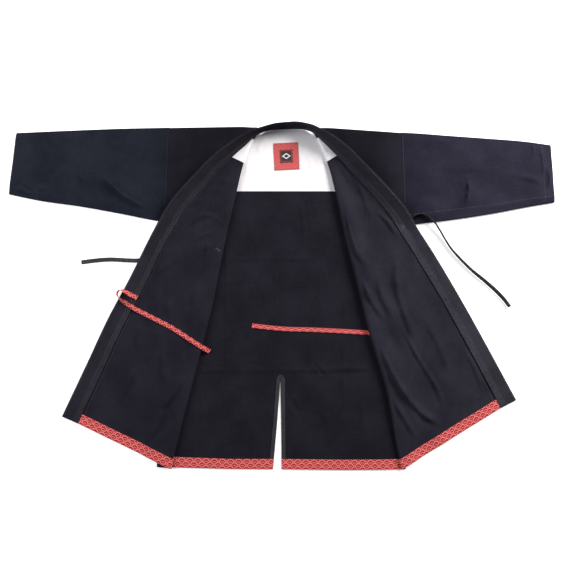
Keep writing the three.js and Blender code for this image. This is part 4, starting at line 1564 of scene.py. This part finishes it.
@dataclass
class CollarBand:
    """One half of the collar: a folded band with a raised strip quilted by rows of stitches."""

    side: Side
    spacing: float = 3.6
    groove: float = 0.45
    groove_width: float = 0.9
    pucker: float = 0.05
    looseness: float = 0.5
    edge_seam: float = 3.4
    bar_place: tuple[float, float] = (318, 178)
    bar_shifts: tuple = (-5, -2.5, 0, 2.5, 5)
    bar_pitch: float = 1.8

    def line(self, distance: Array) -> CollarLine:
        """The collar's line.

        Args:
            distance: distances from the neck's middle, in millimetres.

        Returns:
            The line's places there.
        """
        line = self.side.collar
        here = line.read(distance)
        step = line.read(distance + 2) - line.read(distance - 2)
        run = np.hypot(step[..., 0], step[..., 1])
        tilt = np.radians(np.clip(here[..., 3], 0, STEEPEST))
        return CollarLine(here[..., 0], here[..., 1], here[..., 2], tilt,
                          -step[..., 1] / run, step[..., 0] / run)

    def surface(self, distance: Array, reach: Array, thick: Array) -> Array:
        """Points of the band.

        Args:
            distance: how far along the collar.
            reach: how far across from its sewn edge.
            thick: how far up from its outer face.

        Returns:
            (out, up, height) points, in millimetres.
        """
        line = self.line(distance)
        sin, cos = np.sin(line.tilt), np.cos(line.tilt)
        plan, foot = reach * cos - thick * sin, reach * cos
        leaning = line.lift + reach * sin
        under = self.side.rest_height(line.out + line.across_out * foot,
                                      line.up + line.across_up * foot)
        floor = np.where(distance < FRONT_START, leaning, np.maximum(under, leaning))
        return np.stack((line.out + line.across_out * plan, line.up + line.across_up * plan,
                         floor + thick * cos), axis=-1)

    def top_thick(self, distance: Array, reach: Array) -> Array:
        """The band's thickness, with its strip, its quilting and its creases.

        Args:
            distance: how far along the collar.
            reach: how far across from its sewn edge.

        Returns:
            Thicknesses, in millimetres.
        """
        strip = 1 - smoothstep(reach, STRIP_WIDTH - 0.6, STRIP_WIDTH + 0.9)
        thick = lerp(COLLAR_THICK, STRIP_THICK, strip)
        for row in STRIP_ROWS:
            thick = thick - self.groove * bell(reach, row, self.groove_width)
        puckers = np.sin(distance / 1.9 + reach * 0.9) * np.sin(distance / 13 + reach / 5)
        uneven = self.looseness * (rumple(distance, reach * 2.4, 1.7) - 0.5)
        thick = thick + self.pucker * puckers * strip + uneven * (1 - strip)
        edge = window(reach, 0, 2, COLLAR_WIDTH - 4, COLLAR_WIDTH)
        return thick + total_rise(self.side.collar_creases, distance, reach) * edge

    def build(self, shop: Workshop) -> None:
        """Makes the collar's half.

        Args:
            shop: the workshop.
        """
        length = self.side.collar.length
        turn, inner = COLLAR_WIDTH - 1.4, np.array([(0, STRIP_THICK - 0.7)])
        under = np.linspace(0, turn, 10)
        lower = np.stack((under, np.zeros_like(under)), axis=1)
        rim = [(COLLAR_WIDTH - 0.5, 0.5), (COLLAR_WIDTH, COLLAR_THICK / 2),
               (COLLAR_WIDTH - 0.5, COLLAR_THICK - 0.5)]
        top = np.concatenate((np.linspace(turn, STRIP_WIDTH + 1.6, 14),
                              np.linspace(STRIP_WIDTH + 0.6, 0.5, 30)))
        sections = []
        for distance in np.linspace(0.03, length, int(length / self.spacing)):
            upper = np.stack((top, self.top_thick(distance, top)), axis=1)
            outline = np.concatenate((lower, rim, upper, inner))
            sections.append(self.surface(np.full(len(outline), distance), *outline.T))
        node = f"collar_{self.side.name}"
        made = loft(f"cloth_{node}", self.side.placed(np.array(sections)), 60)
        run = np.arange(2, length - 1, 3.0)
        seams = [self.seam(run, np.full_like(run, row), STITCH_LIFT) for row in STRIP_ROWS]
        seams.append(self.seam(run, np.full_like(run, COLLAR_WIDTH - self.edge_seam), 0.05))
        if self.side.half is Half.RIGHT:
            seams += self.bar()
        shop.finish(made, node, seams, "collar")

    def bar(self) -> list:
        """A short bar of close stitches on the strip, where a tie is sewn on behind.

        Returns:
            The seams.
        """
        steps = np.arange(0, self.side.collar.length, 1.0)
        away = self.side.collar.read(steps)[:, :2] - np.array(self.bar_place)
        middle = steps[np.argmin(np.linalg.norm(away, axis=1))]
        across = np.linspace(10, 19, 12)
        return [self.seam(np.full_like(across, middle + shift), across, TACK_LIFT, self.bar_pitch)
                for shift in self.bar_shifts]

    def seam(self, run: Array, reach: Array, lifted: float, pitch: float = STITCH_PITCH) -> Seam:
        """A row of stitches on the band.

        Args:
            run: how far along the collar its points lie.
            reach: how far across they lie.
            lifted: how far above the cloth the thread's middle lies.
            pitch: the length from stitch to stitch.

        Returns:
            The seam.
        """
        thick = self.top_thick(run, reach) + lifted
        points = self.surface(run, reach, thick)
        return self.side.seam(points, self.surface(run, reach, thick + 1) - points, pitch)


@dataclass
class Sleeve:
    """A sleeve lying flat: a tube open at the cuff and at the body."""

    side: Side
    stations: int = 118
    flats: int = 56
    turns: int = 8
    cuff_hem: float = 26.0
    topstitch: float = 17.0
    relief: float = 2.5
    looseness: float = 2.6
    calm: float = 40
    deepest: float = -1.0

    def loop(self, row: Array, inset: float) -> Array:
        """One loop round the tube, from its lower edge along the underside and back on top.

        Args:
            row: the sleeve's sizes there.
            inset: how far inside the outer face.

        Returns:
            (out, up, height) points, in millimetres.
        """
        side = self.side
        out, lower, upper, height, slant = row
        middle = height / 2
        radius = middle - inset
        low, high = lower + middle, upper - middle
        share = np.linspace(0, 1, self.flats + 1)
        flat_up = lerp(low, high, share)
        angle = np.pi * (np.arange(1, self.turns) / self.turns - 0.5)
        room = smoothstep(share, 0, 0.08) * smoothstep(1 - share, 0, 0.08)
        places = np.full_like(flat_up, out)
        rise = total_rise(side.sleeve_ridges, places, flat_up)
        rise = rise + self.relief * total_rise(side.sleeve_creases, places, flat_up)
        rise = rise + self.looseness * rumple(places, flat_up, 2.6 * side.half.value)
        rise = rise * room * smoothstep(out, SLEEVE_SEAM_OUT, SLEEVE_SEAM_OUT + self.calm)
        top = (middle + radius + np.maximum(rise, self.deepest))[::-1]
        round_up, round_z = radius * np.cos(angle), radius * np.sin(angle)
        up = np.concatenate((flat_up, high + round_up, flat_up[::-1], low - round_up))
        under = np.full_like(flat_up, middle - radius)
        z = np.concatenate((under, middle + round_z, top, middle - round_z))
        return np.stack((out - slant * ((up - lower) / (upper - lower) - 0.5), up, z), axis=-1)

    def on_top(self, outs: Array, shares: Array) -> Seam:
        """A row of stitches on the sleeve's upper side.

        Args:
            outs: distances from the centre line.
            shares: shares from the lower to the upper edge.

        Returns:
            The seam.
        """
        first = self.flats + self.turns
        outs, shares = np.broadcast_arrays(outs, shares)
        points = []
        for out, share in zip(outs, shares):
            loop = self.loop(self.side.sleeve.read(out - SLEEVE_SEAM_OUT), 0)
            top = loop[first : first + self.flats + 1][::-1]
            at = share * self.flats
            points.append([np.interp(at, np.arange(self.flats + 1), top[:, k]) for k in range(3)])
        points = np.array(points)
        return Seam(self.side.placed(points + np.array([0, 0, THREAD_LIFT])),
                    np.tile((0.0, 0.0, 1.0), (len(points), 1)))

    def build(self, shop: Workshop) -> None:
        """Makes the sleeve.

        Args:
            shop: the workshop.
        """
        side = self.side
        rows = side.sleeve.read(eased(self.stations, 0.2) * side.sleeve.length)
        rows[0][0] += SEAM_GAP
        face, back = (side.placed(np.array([self.loop(row, inset) for row in rows]))
                      for inset in (0, CLOTH))
        node = f"sleeve_{side.name}"
        made = grid_shell(f"cloth_{node}", face, back, face[..., :2], ring=True)
        end, lower, upper = side.sleeve.rows[-1][:3]
        up_way = np.linspace(0.02, 0.98, 60)
        seams = [self.on_top(end - 3.0, up_way), self.on_top(SLEEVE_SEAM_OUT + 3.5, up_way)]
        if side.half is Half.RIGHT:
            long_way = np.linspace(SLEEVE_SEAM_OUT + 3, end - 2, 120)
            seams.append(self.on_top(long_way, self.topstitch / (upper - lower)))
            seams.append(self.on_top(end - self.cuff_hem, up_way))
        shop.finish(made, node, seams, "sleeve")


# The neckline, the back's hem and the two edges of its vent, as (x, y) points
BACK_TOP = (
    (-SLEEVE_SEAM_OUT, 474.4), (-86, 474), (-73, 457), (-54, 468.6), (-30, 473.4), (0, 475.2),
    (34, 475), (57, 471.2), (77, 459), (88, 475), (200, 468.75), (SLEEVE_SEAM_OUT, 459.4),
)
BACK_HEM = (
    (-331, -461), (-250, -463.5), (-140, -466.4), (-30, -467), (-8, -467), (150, -469),
    (250, -468.4), (313, -467),
)
VENT_BEND = -352
VENT_TOP = -240
VENT_MIDDLE = -12
VENT_LEFT = ((HEM_UP, -30), (VENT_BEND, -20), (VENT_TOP, VENT_MIDDLE))
VENT_RIGHT = ((HEM_UP, -8), (VENT_BEND, -9.5), (VENT_TOP, VENT_MIDDLE))

# Where the back's creases die away: beside the folds, at the right tie (its middle, its reach
# and its end), under the lining, over the hem trims and round the vent
FOLD_CLEAR = (-24, 6)
TIE_CLEAR = (-104, 26, -84)
LINING_CLEAR = (262, 284)
HEM_CLEAR = (-438, -420)
VENT_CLEAR = (-16, 19, -226, -206)

BACK_CREASES = creases(
    (((-165, 85), (-30, 85), (110, 85)), -0.45, 3.2, 0.8, 0.15),
    (((-165, 90), (-30, 90), (110, 90)), 0.7, 5, 0.8, 0.2),
    (((-295, -220), (-95, -220), (240, -220)), -0.5, 3.4, 0.8, 0.1),
    (((-260, -215), (-95, -215), (240, -210)), 0.8, 6, 0.8, 0.15),
    (((120, -210), (180, -205), (240, -210)), 1.3, 8, 0.5),
    (((-280, -205), (-245, -200), (-215, -205)), 1.2, 7, 0.5),
    (((-170, 155), (-165, -25), (-160, -250)), -0.4, 3.6, 0.8, 0.1),
    (((-165, 150), (-160, -25), (-155, -245)), 0.7, 5, 0.8, 0.15),
    (((155, -10), (150, -185), (150, -330)), -0.45, 3.4, 0.8, 0.1),
    (((160, -10), (155, -185), (155, -325)), 0.9, 6, 0.8, 0.15),
    (((-30, 65), (-25, 10)), 1.1, 3.6, 0.6),
    (((70, -120), (65, -160), (60, -195)), 1.2, 5, 0.6),
    (((75, -180), (100, -210), (120, -230)), 1.1, 5, 0.6),
    (((60, -190), (85, -215), (100, -240)), 0.9, 5, 0.6),
    (((40, 260), (50, 200), (55, 140)), 1.2, 6, 0.6),
    (((60, 255), (65, 220), (75, 190)), 1.0, 5, 0.6),
    (((15, -270), (30, -295), (40, -320)), 1.2, 5, 0.6),
    (((5, -300), (25, -330), (35, -350)), 0.9, 5, 0.6),
    (((-120, -180), (-95, -140), (-90, -80)), 0.9, 9),
    (((-60, -300), (-80, -350), (-90, -410)), 0.9, 9),
    (((95, -300), (110, -350), (110, -410)), 0.9, 10),
    (((200, -260), (205, -330), (215, -400)), 1.0, 10),
    (((-110, 230), (-95, 180), (-100, 130)), 0.9, 9),
    (((90, 40), (95, -20), (100, -70)), 0.8, 9),
    (((-220, -260), (-215, -340), (-225, -410)), 0.9, 10),
)


@dataclass
class BackPanel:
    """The back, cut in one with its neckline and the slit of its vent."""

    columns: int = 86
    rows: int = 190
    relief: float = 2.0
    looseness: float = 1.4
    under_share: float = 0.92

    def half(self, side: Side, vent: tuple) -> Array:
        """A grid of (x, y) places from the vent's line out to the side.

        Args:
            side: the half it is on.
            vent: the vent's edge on that side.

        Returns:
            The grid, from the hem's row to the neck's.
        """
        levels, edges = np.array(vent).T
        top, hem = np.array(BACK_TOP).T, np.array(BACK_HEM).T
        shares = np.linspace(0, 1, self.rows)
        vent_share = (VENT_TOP - HEM_UP) / (NECK_UP - HEM_UP)
        shares[np.argmin(np.abs(shares - vent_share))] = vent_share
        t, rows = np.meshgrid(eased(self.columns - 1, 0.25), shares)
        y = lerp(HEM_UP, NECK_UP, rows)
        for _ in range(3):
            outer = side.half.value * side.side_out(np.maximum(y, side.hem_up))
            x = lerp(np.interp(y, levels, edges), outer, t)
            y = lerp(np.interp(x, *hem), np.interp(x, *top), rows)
        return np.stack((x, y), axis=-1)

    def rise(self, x: Array, y: Array) -> Array:
        """How far the back's upper face stands above its plain height.

        Args:
            x: places across.
            y: places up the jacket.

        Returns:
            Heights, in millimetres.
        """
        left, right = (np.interp(-y, -side.fold.rows[:, 1], side.fold.rows[:, 0])
                       for side in (LEFT, RIGHT))
        tie_up, tie_reach, tie_end = TIE_CLEAR
        vent_out, vent_reach, *vent_end = VENT_CLEAR
        room = smoothstep(x + left, *FOLD_CLEAR) * smoothstep(right - x, *FOLD_CLEAR)
        room = room * (1 - smoothstep(y, *LINING_CLEAR)) * smoothstep(y, *HEM_CLEAR)
        room = room * (1 - bell(x, vent_out, vent_reach) * (1 - smoothstep(y, *vent_end)))
        room = room * (1 - bell(y, tie_up, tie_reach) * smoothstep(x, tie_up, tie_end))
        loose = self.relief * total_rise(BACK_CREASES, x, y) + self.looseness * rumple(x, y, 0.4)
        return loose * room

    def build(self, shop: Workshop) -> None:
        """Makes the back.

        Args:
            shop: the workshop.
        """
        halves = [self.half(LEFT, VENT_LEFT), self.half(RIGHT, VENT_RIGHT)]
        size = self.rows * self.columns
        quads = grid_quads(self.rows, self.columns)
        both = np.concatenate((quads[:, ::-1], quads + size))
        seam_rows = np.arange(self.rows)[halves[0][:, 0, 1] > VENT_TOP - 0.01]
        numbers = np.arange(2 * size)
        numbers[size + seam_rows * self.columns] = seam_rows * self.columns
        kept, packed = np.unique(numbers, return_inverse=True)
        plan = np.concatenate([grid.reshape(-1, 2) for grid in halves])[kept]
        rise = self.rise(*plan.T)
        face = with_height(plan, CLOTH + rise)
        back = with_height(plan, np.maximum(rise * self.under_share, 0))
        shop.finish(shell("cloth_back", face, back, packed[both], plan * MM), "back")


@dataclass
class Strip:
    """A narrow flat piece on the back, between two edges that run the same way."""

    name: str
    node: str
    edges: tuple[tuple, tuple]
    thickness: float
    seams: tuple[float, float]
    steps: int = 120
    across: int = 8
    crown: float = 0.35

    def places(self, share_across: float, count: int) -> Array:
        """Points along the strip.

        Args:
            share_across: 0 on the first edge and 1 on the second.
            count: how many points.

        Returns:
            (x, y) places.
        """
        found = []
        for edge in self.edges:
            knots = np.array(edge, dtype=float)
            at = distances_along(knots)
            wanted = np.linspace(0, at[-1], count)
            found.append(np.column_stack([np.interp(wanted, at, knots[:, k]) for k in range(2)]))
        return lerp(*found, share_across)

    def build(self, shop: Workshop) -> None:
        """Makes the strip.

        Args:
            shop: the workshop.
        """
        shares = np.linspace(0, 1, self.across + 1)
        plan = np.stack([self.places(share, self.steps) for share in shares], axis=1)
        swell = self.crown * np.sin(np.pi * shares) * (0.75 + 0.25 * np.sin(plan[..., 0] / 9))
        top = ON_BACK + self.thickness
        face = with_height(plan, top + swell)
        made = grid_shell(self.name, face, with_height(plan, ON_BACK), lengths_across(face)[..., ::-1])
        seams = [Seam.level(self.places(share, self.steps * 2), top + STITCH_LIFT) for share in self.seams]
        shop.finish(made, self.node, seams, "strip", f"{self.name}_stitches")


def back_strips() -> list[Strip]:
    """The wave-patterned trims inside the back hem, and the tape that faces the vent's edges.

    Returns:
        The strips, from left to right.
    """
    top, rows = HEM_UP + TRIM_WIDTH, (0.08, 0.92)
    foot, meet, arch = top + 0.6, VENT_MIDDLE + 0.9, VENT_TOP + 16
    taped = (LINING, (0.14, 0.86), 90, 6, 0.25)
    return [
        Strip("cloth_trim_back_left", "hem_trim_back_left", (
            ((-288, -461.8), (-140, HEM_UP + 0.8), (-30.3, HEM_UP + 0.2)),
            ((-288, -461.8 + TRIM_WIDTH), (-140, top), (-28.4, top)),
        ), TRIM, rows),
        Strip("cloth_trim_back_right", "hem_trim_back_right", (
            ((-7.8, HEM_UP + 0.2), (150, HEM_UP - 1.8), (250, HEM_UP - 1.2), (301, HEM_UP)),
            ((-7.8, top), (150, top - 1.8), (250, top - 1.2), (301, top)),
        ), TRIM, rows),
        Strip("cloth_vent_facing_left", "vent_facing_left", (
            ((-28.6, foot), (-20.5, VENT_BEND), (VENT_MIDDLE - 0.4, VENT_TOP + 0.4),
             (meet - 0.2, VENT_TOP + 3)),
            ((-38.6, foot), (-30.5, VENT_BEND), (meet - 11, arch - 12), (meet - 7, arch - 3),
             (meet - 0.2, arch)),
        ), *taped),
        Strip("cloth_vent_facing_right", "vent_facing_right", (
            ((-7.6, foot), (-9, VENT_BEND), (VENT_MIDDLE + 0.8, VENT_TOP + 0.4),
             (meet + 0.2, VENT_TOP + 3)),
            ((2.4, foot), (1.4, VENT_BEND), (0.4, arch - 12), (meet + 7, arch - 3),
             (meet + 0.2, arch)),
        ), *taped),
    ]


LINING_CREASES = creases(
    (((-120, 295), (-110, 340), (-95, 380)), 0.7, 8),
    (((60, 300), (75, 350), (70, 400)), 0.7, 7),
    (((95, 295), (105, 340), (95, 390)), 0.6, 8),
    (((-60, 300), (-55, 340)), 0.6, 6),
    (((-80, 400), (-65, 435), (-50, 455)), 0.6, 7),
)


@dataclass
class BackLining:
    """The white lining across the upper back, cut to the neckline."""

    out: float = 176
    bottom: float = 288
    columns: int = 120
    rows: int = 66
    neck_reach: float = 90
    shoulder_up: float = 468
    highest: float = 474.7
    shown_out: float = 120
    relief: float = 2.0
    looseness: float = 0.6

    def build(self, shop: Workshop) -> None:
        """Makes the lining.

        Args:
            shop: the workshop.
        """
        x, share = np.meshgrid(np.linspace(-self.out, self.out, self.columns),
                               np.linspace(0, 1, self.rows))
        neckline = np.interp(x, *np.array(BACK_TOP).T) - 0.5
        top = np.where(np.abs(x) < self.neck_reach, neckline, self.shoulder_up)
        y = lerp(self.bottom, np.minimum(top, self.highest), share)
        near_patch = bell(x, PATCH_PLACE[0], 52, 6) * bell(y, PATCH_PLACE[1], 56, 6)
        loose = self.relief * total_rise(LINING_CREASES, x, y) + self.looseness * rumple(x, y, 3.1)
        loose = loose * (1 - near_patch) * smoothstep(y, self.bottom, self.bottom + 6)
        loose = loose * smoothstep(self.shown_out - np.abs(x), 0, 14)
        plan = np.stack((x, y), axis=-1)
        top_level = ON_BACK + LINING
        face, back = with_height(plan, top_level + loose), with_height(plan, ON_BACK + loose * 0.9)
        made = grid_shell("cloth_lining_back", face, back, plan * MM)
        run = np.linspace(-self.out + 3, self.out - 3, 60)
        seams = [Seam.level(np.column_stack((run, np.full_like(run, self.bottom + above))),
                            top_level + THREAD_LIFT, FINE_PITCH) for above in (2.5, 9)]
        shop.finish(made, "lining_back", seams, "lining")


@dataclass
class SewnOnFront:
    """A thinner piece sewn on an opened front, worked out from the front's own points."""

    panel: FrontPanel
    kind: str
    rows: Array
    thickness: float
    seam_rows: tuple[float, ...]
    last_column: float = 2.992
    rolled_columns: int = 10

    def build(self, shop: Workshop) -> None:
        """Makes the piece, with a few of its columns round the fold.

        Args:
            shop: the workshop.
        """
        near = CLOTH / 2 + LAID_GAP
        columns = np.concatenate((np.linspace(1, 2, self.rolled_columns, endpoint=False),
                                  np.linspace(2, self.last_column, 84)))
        face, back = self.panel.grids(columns, self.rows, near, near + self.thickness)
        node = f"{self.kind}_front_{self.panel.side.name}"
        uv = lengths_across(face, self.rolled_columns) * np.array([1.0, -1.0])
        made = grid_shell(f"cloth_{node}", face, back, uv)
        run = np.linspace(1.7, self.last_column - 0.01, 150)
        lifted = near + self.thickness + THREAD_LIFT
        seams = [self.panel.seam(run, np.full_like(run, row), lifted, TRIM_PITCH)
                 for row in self.seam_rows]
        shop.finish(made, node, seams, "sewn_on")


@dataclass
class FlatPatch:
    """A small oblong sewn flat on the lining, turned a little about its middle."""

    node: str
    size: tuple[float, float]
    bottom: float
    thickness: float
    inset: float = 2.2
    repeat: float = 1.5
    points: int = 26

    def turned(self, x: Array, y: Array) -> Array:
        """The (x, y) places of points given from the oblong's own middle.

        Args:
            x: places across it.
            y: places up it.

        Returns:
            The places.
        """
        sin, cos = math.sin(math.radians(PATCH_TURN)), math.cos(math.radians(PATCH_TURN))
        return np.stack((PATCH_PLACE[0] + x * cos - y * sin, PATCH_PLACE[1] + x * sin + y * cos),
                        axis=-1)

    def build(self, shop: Workshop) -> None:
        """Makes the oblong.

        Args:
            shop: the workshop.
        """
        half = np.array(self.size) / 2
        x, y = np.meshgrid(*(np.linspace(-reach, reach, self.points) for reach in half))
        edge = smoothstep(half[0] - np.abs(x), 0, 3) * smoothstep(half[1] - np.abs(y), 0, 3)
        top = self.bottom + self.thickness
        plan = self.turned(x, y)
        face = with_height(plan, top + 0.25 * edge * rumple(x * 2, y * 2, 5.0))
        back = with_height(plan, self.bottom)
        uv = np.stack((x, y), axis=-1) * MM * self.repeat
        made = grid_shell(f"cloth_{self.node}", face, back, uv)
        a, b = half - self.inset
        corners = np.array([(-a, -b), (a, -b), (a, b), (-a, b), (-a, -b)])
        seams = []
        for start, end in zip(corners[:-1], corners[1:]):
            run = lerp(start, end, np.linspace(0, 1, 12)[:, None])
            seams.append(Seam.level(self.turned(*run.T), top + STITCH_LIFT, FINE_PITCH))
        shop.finish(made, self.node, seams, "patch")


# Each tie's route: rows of (x, y, z, turn), with the turn of its width from lying flat
TIE_OUTER_LEFT = (
    (-186, 115, 7.6, 0), (-230, 110, 7.6, 0), (-290, 102, 7.6, 0), (-330, 97, 7.4, 0),
    (-350, 94, 5.6, 0), (-368, 91, 2.7, 0), (-386, 89, 1.2, 0), (-412, 88, 1.15, 0),
    (-442, 89, 1.15, 0), (-484, 91, 1.15, 0), (-525, 88, 1.15, 0), (-562, 83, 1.15, 0),
)
TIE_OUTER_RIGHT = (
    (353, 208, 14.4, 86), (363, 214, 14.4, 88), (378, 217.5, 14, 90), (395, 212, 13.8, 90),
    (411, 199, 13.2, 90), (427, 176, 10.2, 90), (442, 149, 7.4, 90), (458, 122, 6.6, 88),
    (482, 92, 6.5, 80), (512, 60, 6.4, 72), (546, 30, 6.1, 62), (579, -2, 5.9, 56),
    (597, -23, 6, 60), (610, -42, 6.2, 66),
)
TIE_INNER_LEFT = (
    (-402, -18, 6.6, 0), (-420, -9, 7.4, 10), (-436, 0, 9.6, 42), (-447, 4, 10.6, 76),
    (-454, 0, 10.6, 90), (-456, -9, 10.6, 90), (-451, -18, 10.4, 76), (-440, -27, 9.6, 44),
    (-424, -37, 8, 14), (-404, -49, 5.6, 0), (-386, -58, 4.6, 0), (-366, -68, 6.2, 0),
    (-338, -82, 9.8, 0), (-300, -102, 10.3, 0), (-270, -121, 11.2, 0), (-248, -135, 13.6, 0),
    (-234, -144, 15, 0), (-223, -151, 14.4, 0), (-212, -157, 11.2, 0), (-201, -163, 6, 0),
)
TIE_INNER_RIGHT = (
    (312, -115, 2.9, 0), (270, -114, 2.9, 0), (227, -112, 2.9, 0), (189, -110, 2.9, 0),
    (135, -107, 2.9, 0), (68, -104, 2.9, 0), (0, -102, 2.9, 0), (-54, -97, 2.9, 0),
    (-89, -93, 2.9, 0),
)
# Half of a tie's section: shares of its half width, and of its half thickness there
TIE_ACROSS = (-1, -0.97, -0.9, -0.6, -0.3, 0, 0.3, 0.6, 0.9, 0.97, 1)
TIE_DEPTH = (0.3, 0.75, 1, 0.94, 0.97, 1.0, 0.97, 0.94, 1, 0.75, 0.3)


@dataclass
class Tie:
    """A flat tie: a folded strip of cloth along its route, with stitches near each edge."""

    name: str
    slot: str
    finish: str
    thread: str
    route: tuple
    spacing: float = 3.0
    edge_inset: float = 1.6

    def build(self, shop: Workshop) -> None:
        """Args:
            shop: the workshop.
        """
        line = Line(self.route, (0, 1, 2))
        distances = np.linspace(0, line.length, int(line.length / self.spacing))
        here = line.read(distances)
        along = line.read(distances + 1)[:, :3] - line.read(distances - 1)[:, :3]
        along /= np.linalg.norm(along, axis=1, keepdims=True)
        level = np.cross((0.0, 0.0, 1.0), along)
        level /= np.linalg.norm(level, axis=1, keepdims=True)
        turn = np.radians(here[:, 3:4])
        width = level * np.cos(turn) + np.cross(along, level) * np.sin(turn)
        normal = np.cross(along, width)
        half, thick = TIE_WIDTH / 2, TIE_THICK / 2
        across, depth = np.array(TIE_ACROSS) * half, np.array(TIE_DEPTH) * thick
        outline = list(zip(across, depth)) + list(zip(across[::-1], -depth[::-1]))
        middle = here[:, :3]
        sections = np.stack([middle + width * a + normal * b for a, b in outline], axis=1) * MM
        made = loft(f"cloth_{self.name}", sections, 40)
        made.data.materials.append(shop.finishes[self.finish])
        facing = normal * np.where(normal[:, 2:3] >= 0, 1.0, -1.0)
        seams = []
        for edge in (-1, 1):
            inset = edge * (half - self.edge_inset)
            points = (middle + width * inset + facing * (thick + 0.02)) * MM
            seams.append(Seam(points, facing, TRIM_PITCH))
        stitches = shop.sew(f"stitches_{self.name}", seams, self.thread, "tie")
        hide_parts(self.name)
        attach(made, "root")
        path = middle * MM
        length = float(distances_along(path)[-1])
        tuple(path[0])
        log.info("%s: %.3f metres long", self.name, length)


@dataclass
class Studio:
    """The camera above the jacket, the soft lights and the pale floor."""

    lens: float = 35.0
    sensor: float = 36.0
    camera_place: tuple[float, float, float] = (0.01916, -0.2699, 1.5304)
    camera_tilt: float = 10.0
    floor_size: float = 12.0
    floor_up: float = -0.0004
    floor_glow: float = 0.4
    floor_dyes: tuple[Colour, Colour] = ((0.88, 0.88, 0.89), (0.93, 0.93, 0.935))
    sky: Colour = (0.96, 0.97, 1)
    sky_strength: float = 0.2

    def camera(self) -> None:
        """Sets the camera."""
        data = bpy.data.cameras.new("camera")
        data.lens, data.sensor_width = self.lens, self.sensor
        made = linked("camera", data)
        made.location = self.camera_place
        made.rotation_euler = (math.radians(self.camera_tilt), 0, 0)
        bpy.context.scene.camera = made

    def light(self, name: str, place: tuple, size: float, energy: float, tint: Colour) -> None:
        """Adds a soft square light that faces the jacket's middle.

        Args:
            name: the light's name.
            place: where it stands, in metres.
            size: its side, in metres.
            energy: its power, in watts.
            tint: its colour.
        """
        data = bpy.data.lights.new(name, "AREA")
        data.size, data.energy, data.color = size, energy, tint
        made = linked(name, data)
        made.location = x, y, z = place
        made.rotation_euler = (math.atan2(math.hypot(x, y), z), 0, math.atan2(y, x) + math.pi / 2)

    def build(self) -> None:
        """Makes the floor, the surroundings and the lights."""
        half = self.floor_size / 2
        corners = [(x * half, y * half, self.floor_up) for x, y in ((-1, -1), (1, -1), (1, 1), (-1, 1))]
        mesh = bpy.data.meshes.new("floor")
        mesh.from_pydata(corners, [], [(0, 1, 2, 3)])
        kit = MaterialKit("floor")
        cloudy = kit.mixed(kit.noise(kit.place, 1.6), *self.floor_dyes)
        mesh.materials.append(kit.dressed(cloudy, 0.9, Specular_IOR_Level=0.1,
                                          Emission_Color=(1, 1, 1, 1),
                                          Emission_Strength=self.floor_glow))
        floor = linked("floor", mesh)
        floor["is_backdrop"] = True
        world = bpy.data.worlds.new("surroundings")
        world.use_nodes = True
        NodeKit(world.node_tree).fill(world.node_tree.nodes["Background"], Color=(*self.sky, 1),
                                      Strength=self.sky_strength)
        bpy.context.scene.world = world
        self.light("key", (2.15, 1.55, 1.5), 1.3, 165, (1, 0.985, 0.975))
        self.light("fill", (-2.2, 0.5, 1.5), 1.8, 66, (0.95, 0.97, 1))
        bpy.context.scene.view_settings.view_transform = "Standard"


def main() -> None:
    """Builds the scene: the camera and the ties first, then the cloths from the floor up."""
    studio = Studio()
    studio.camera()
    shop = Workshop()
    black, red = ("tape", "tape", "dark_thread"), ("wave_cloth", "waves", "red_thread")
    Tie("tie_outer_left", *black, TIE_OUTER_LEFT).build(shop)
    Tie("tie_outer_right", *black, TIE_OUTER_RIGHT).build(shop)
    Tie("tie_inner_left", *red, TIE_INNER_LEFT).build(shop)
    Tie("tie_inner_right", *red, TIE_INNER_RIGHT).build(shop)
    BackPanel().build(shop)
    BackLining().build(shop)
    on_lining = ON_BACK + LINING + LAID_GAP
    FlatPatch("neck_patch", PATCH_SIZE, on_lining, LINING).build(shop)
    FlatPatch("neck_label", LABEL_SIZE, on_lining + LINING + LAID_GAP, LABEL, 1.2, 1.0).build(shop)
    for strip in back_strips():
        strip.build(shop)
    for side in (LEFT, RIGHT):
        panel = FrontPanel(side)
        panel.build(shop)
        hem, near_hem, low = (panel.row_above_hem(up) for up in (TRIM_WIDTH, TRIM_WIDTH - 2, 2))
        SewnOnFront(panel, "hem_trim", np.linspace(hem, 1, 9), TRIM, (near_hem, low)).build(shop)
        tab = LINING_ON_FRONT / side.fold.length
        SewnOnFront(panel, "lining", np.linspace(0.015, tab, 16), LINING, (tab - 0.003,)).build(shop)
        CollarBand(side).build(shop)
        Sleeve(side).build(shop)
    studio.build()
    boxes = {"cad": CAD_BOX, "visual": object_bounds()}
    {name: [list(map(float, corner)) for corner in box] for name, box in boxes.items()}


if __name__ == "__main__":
    main()
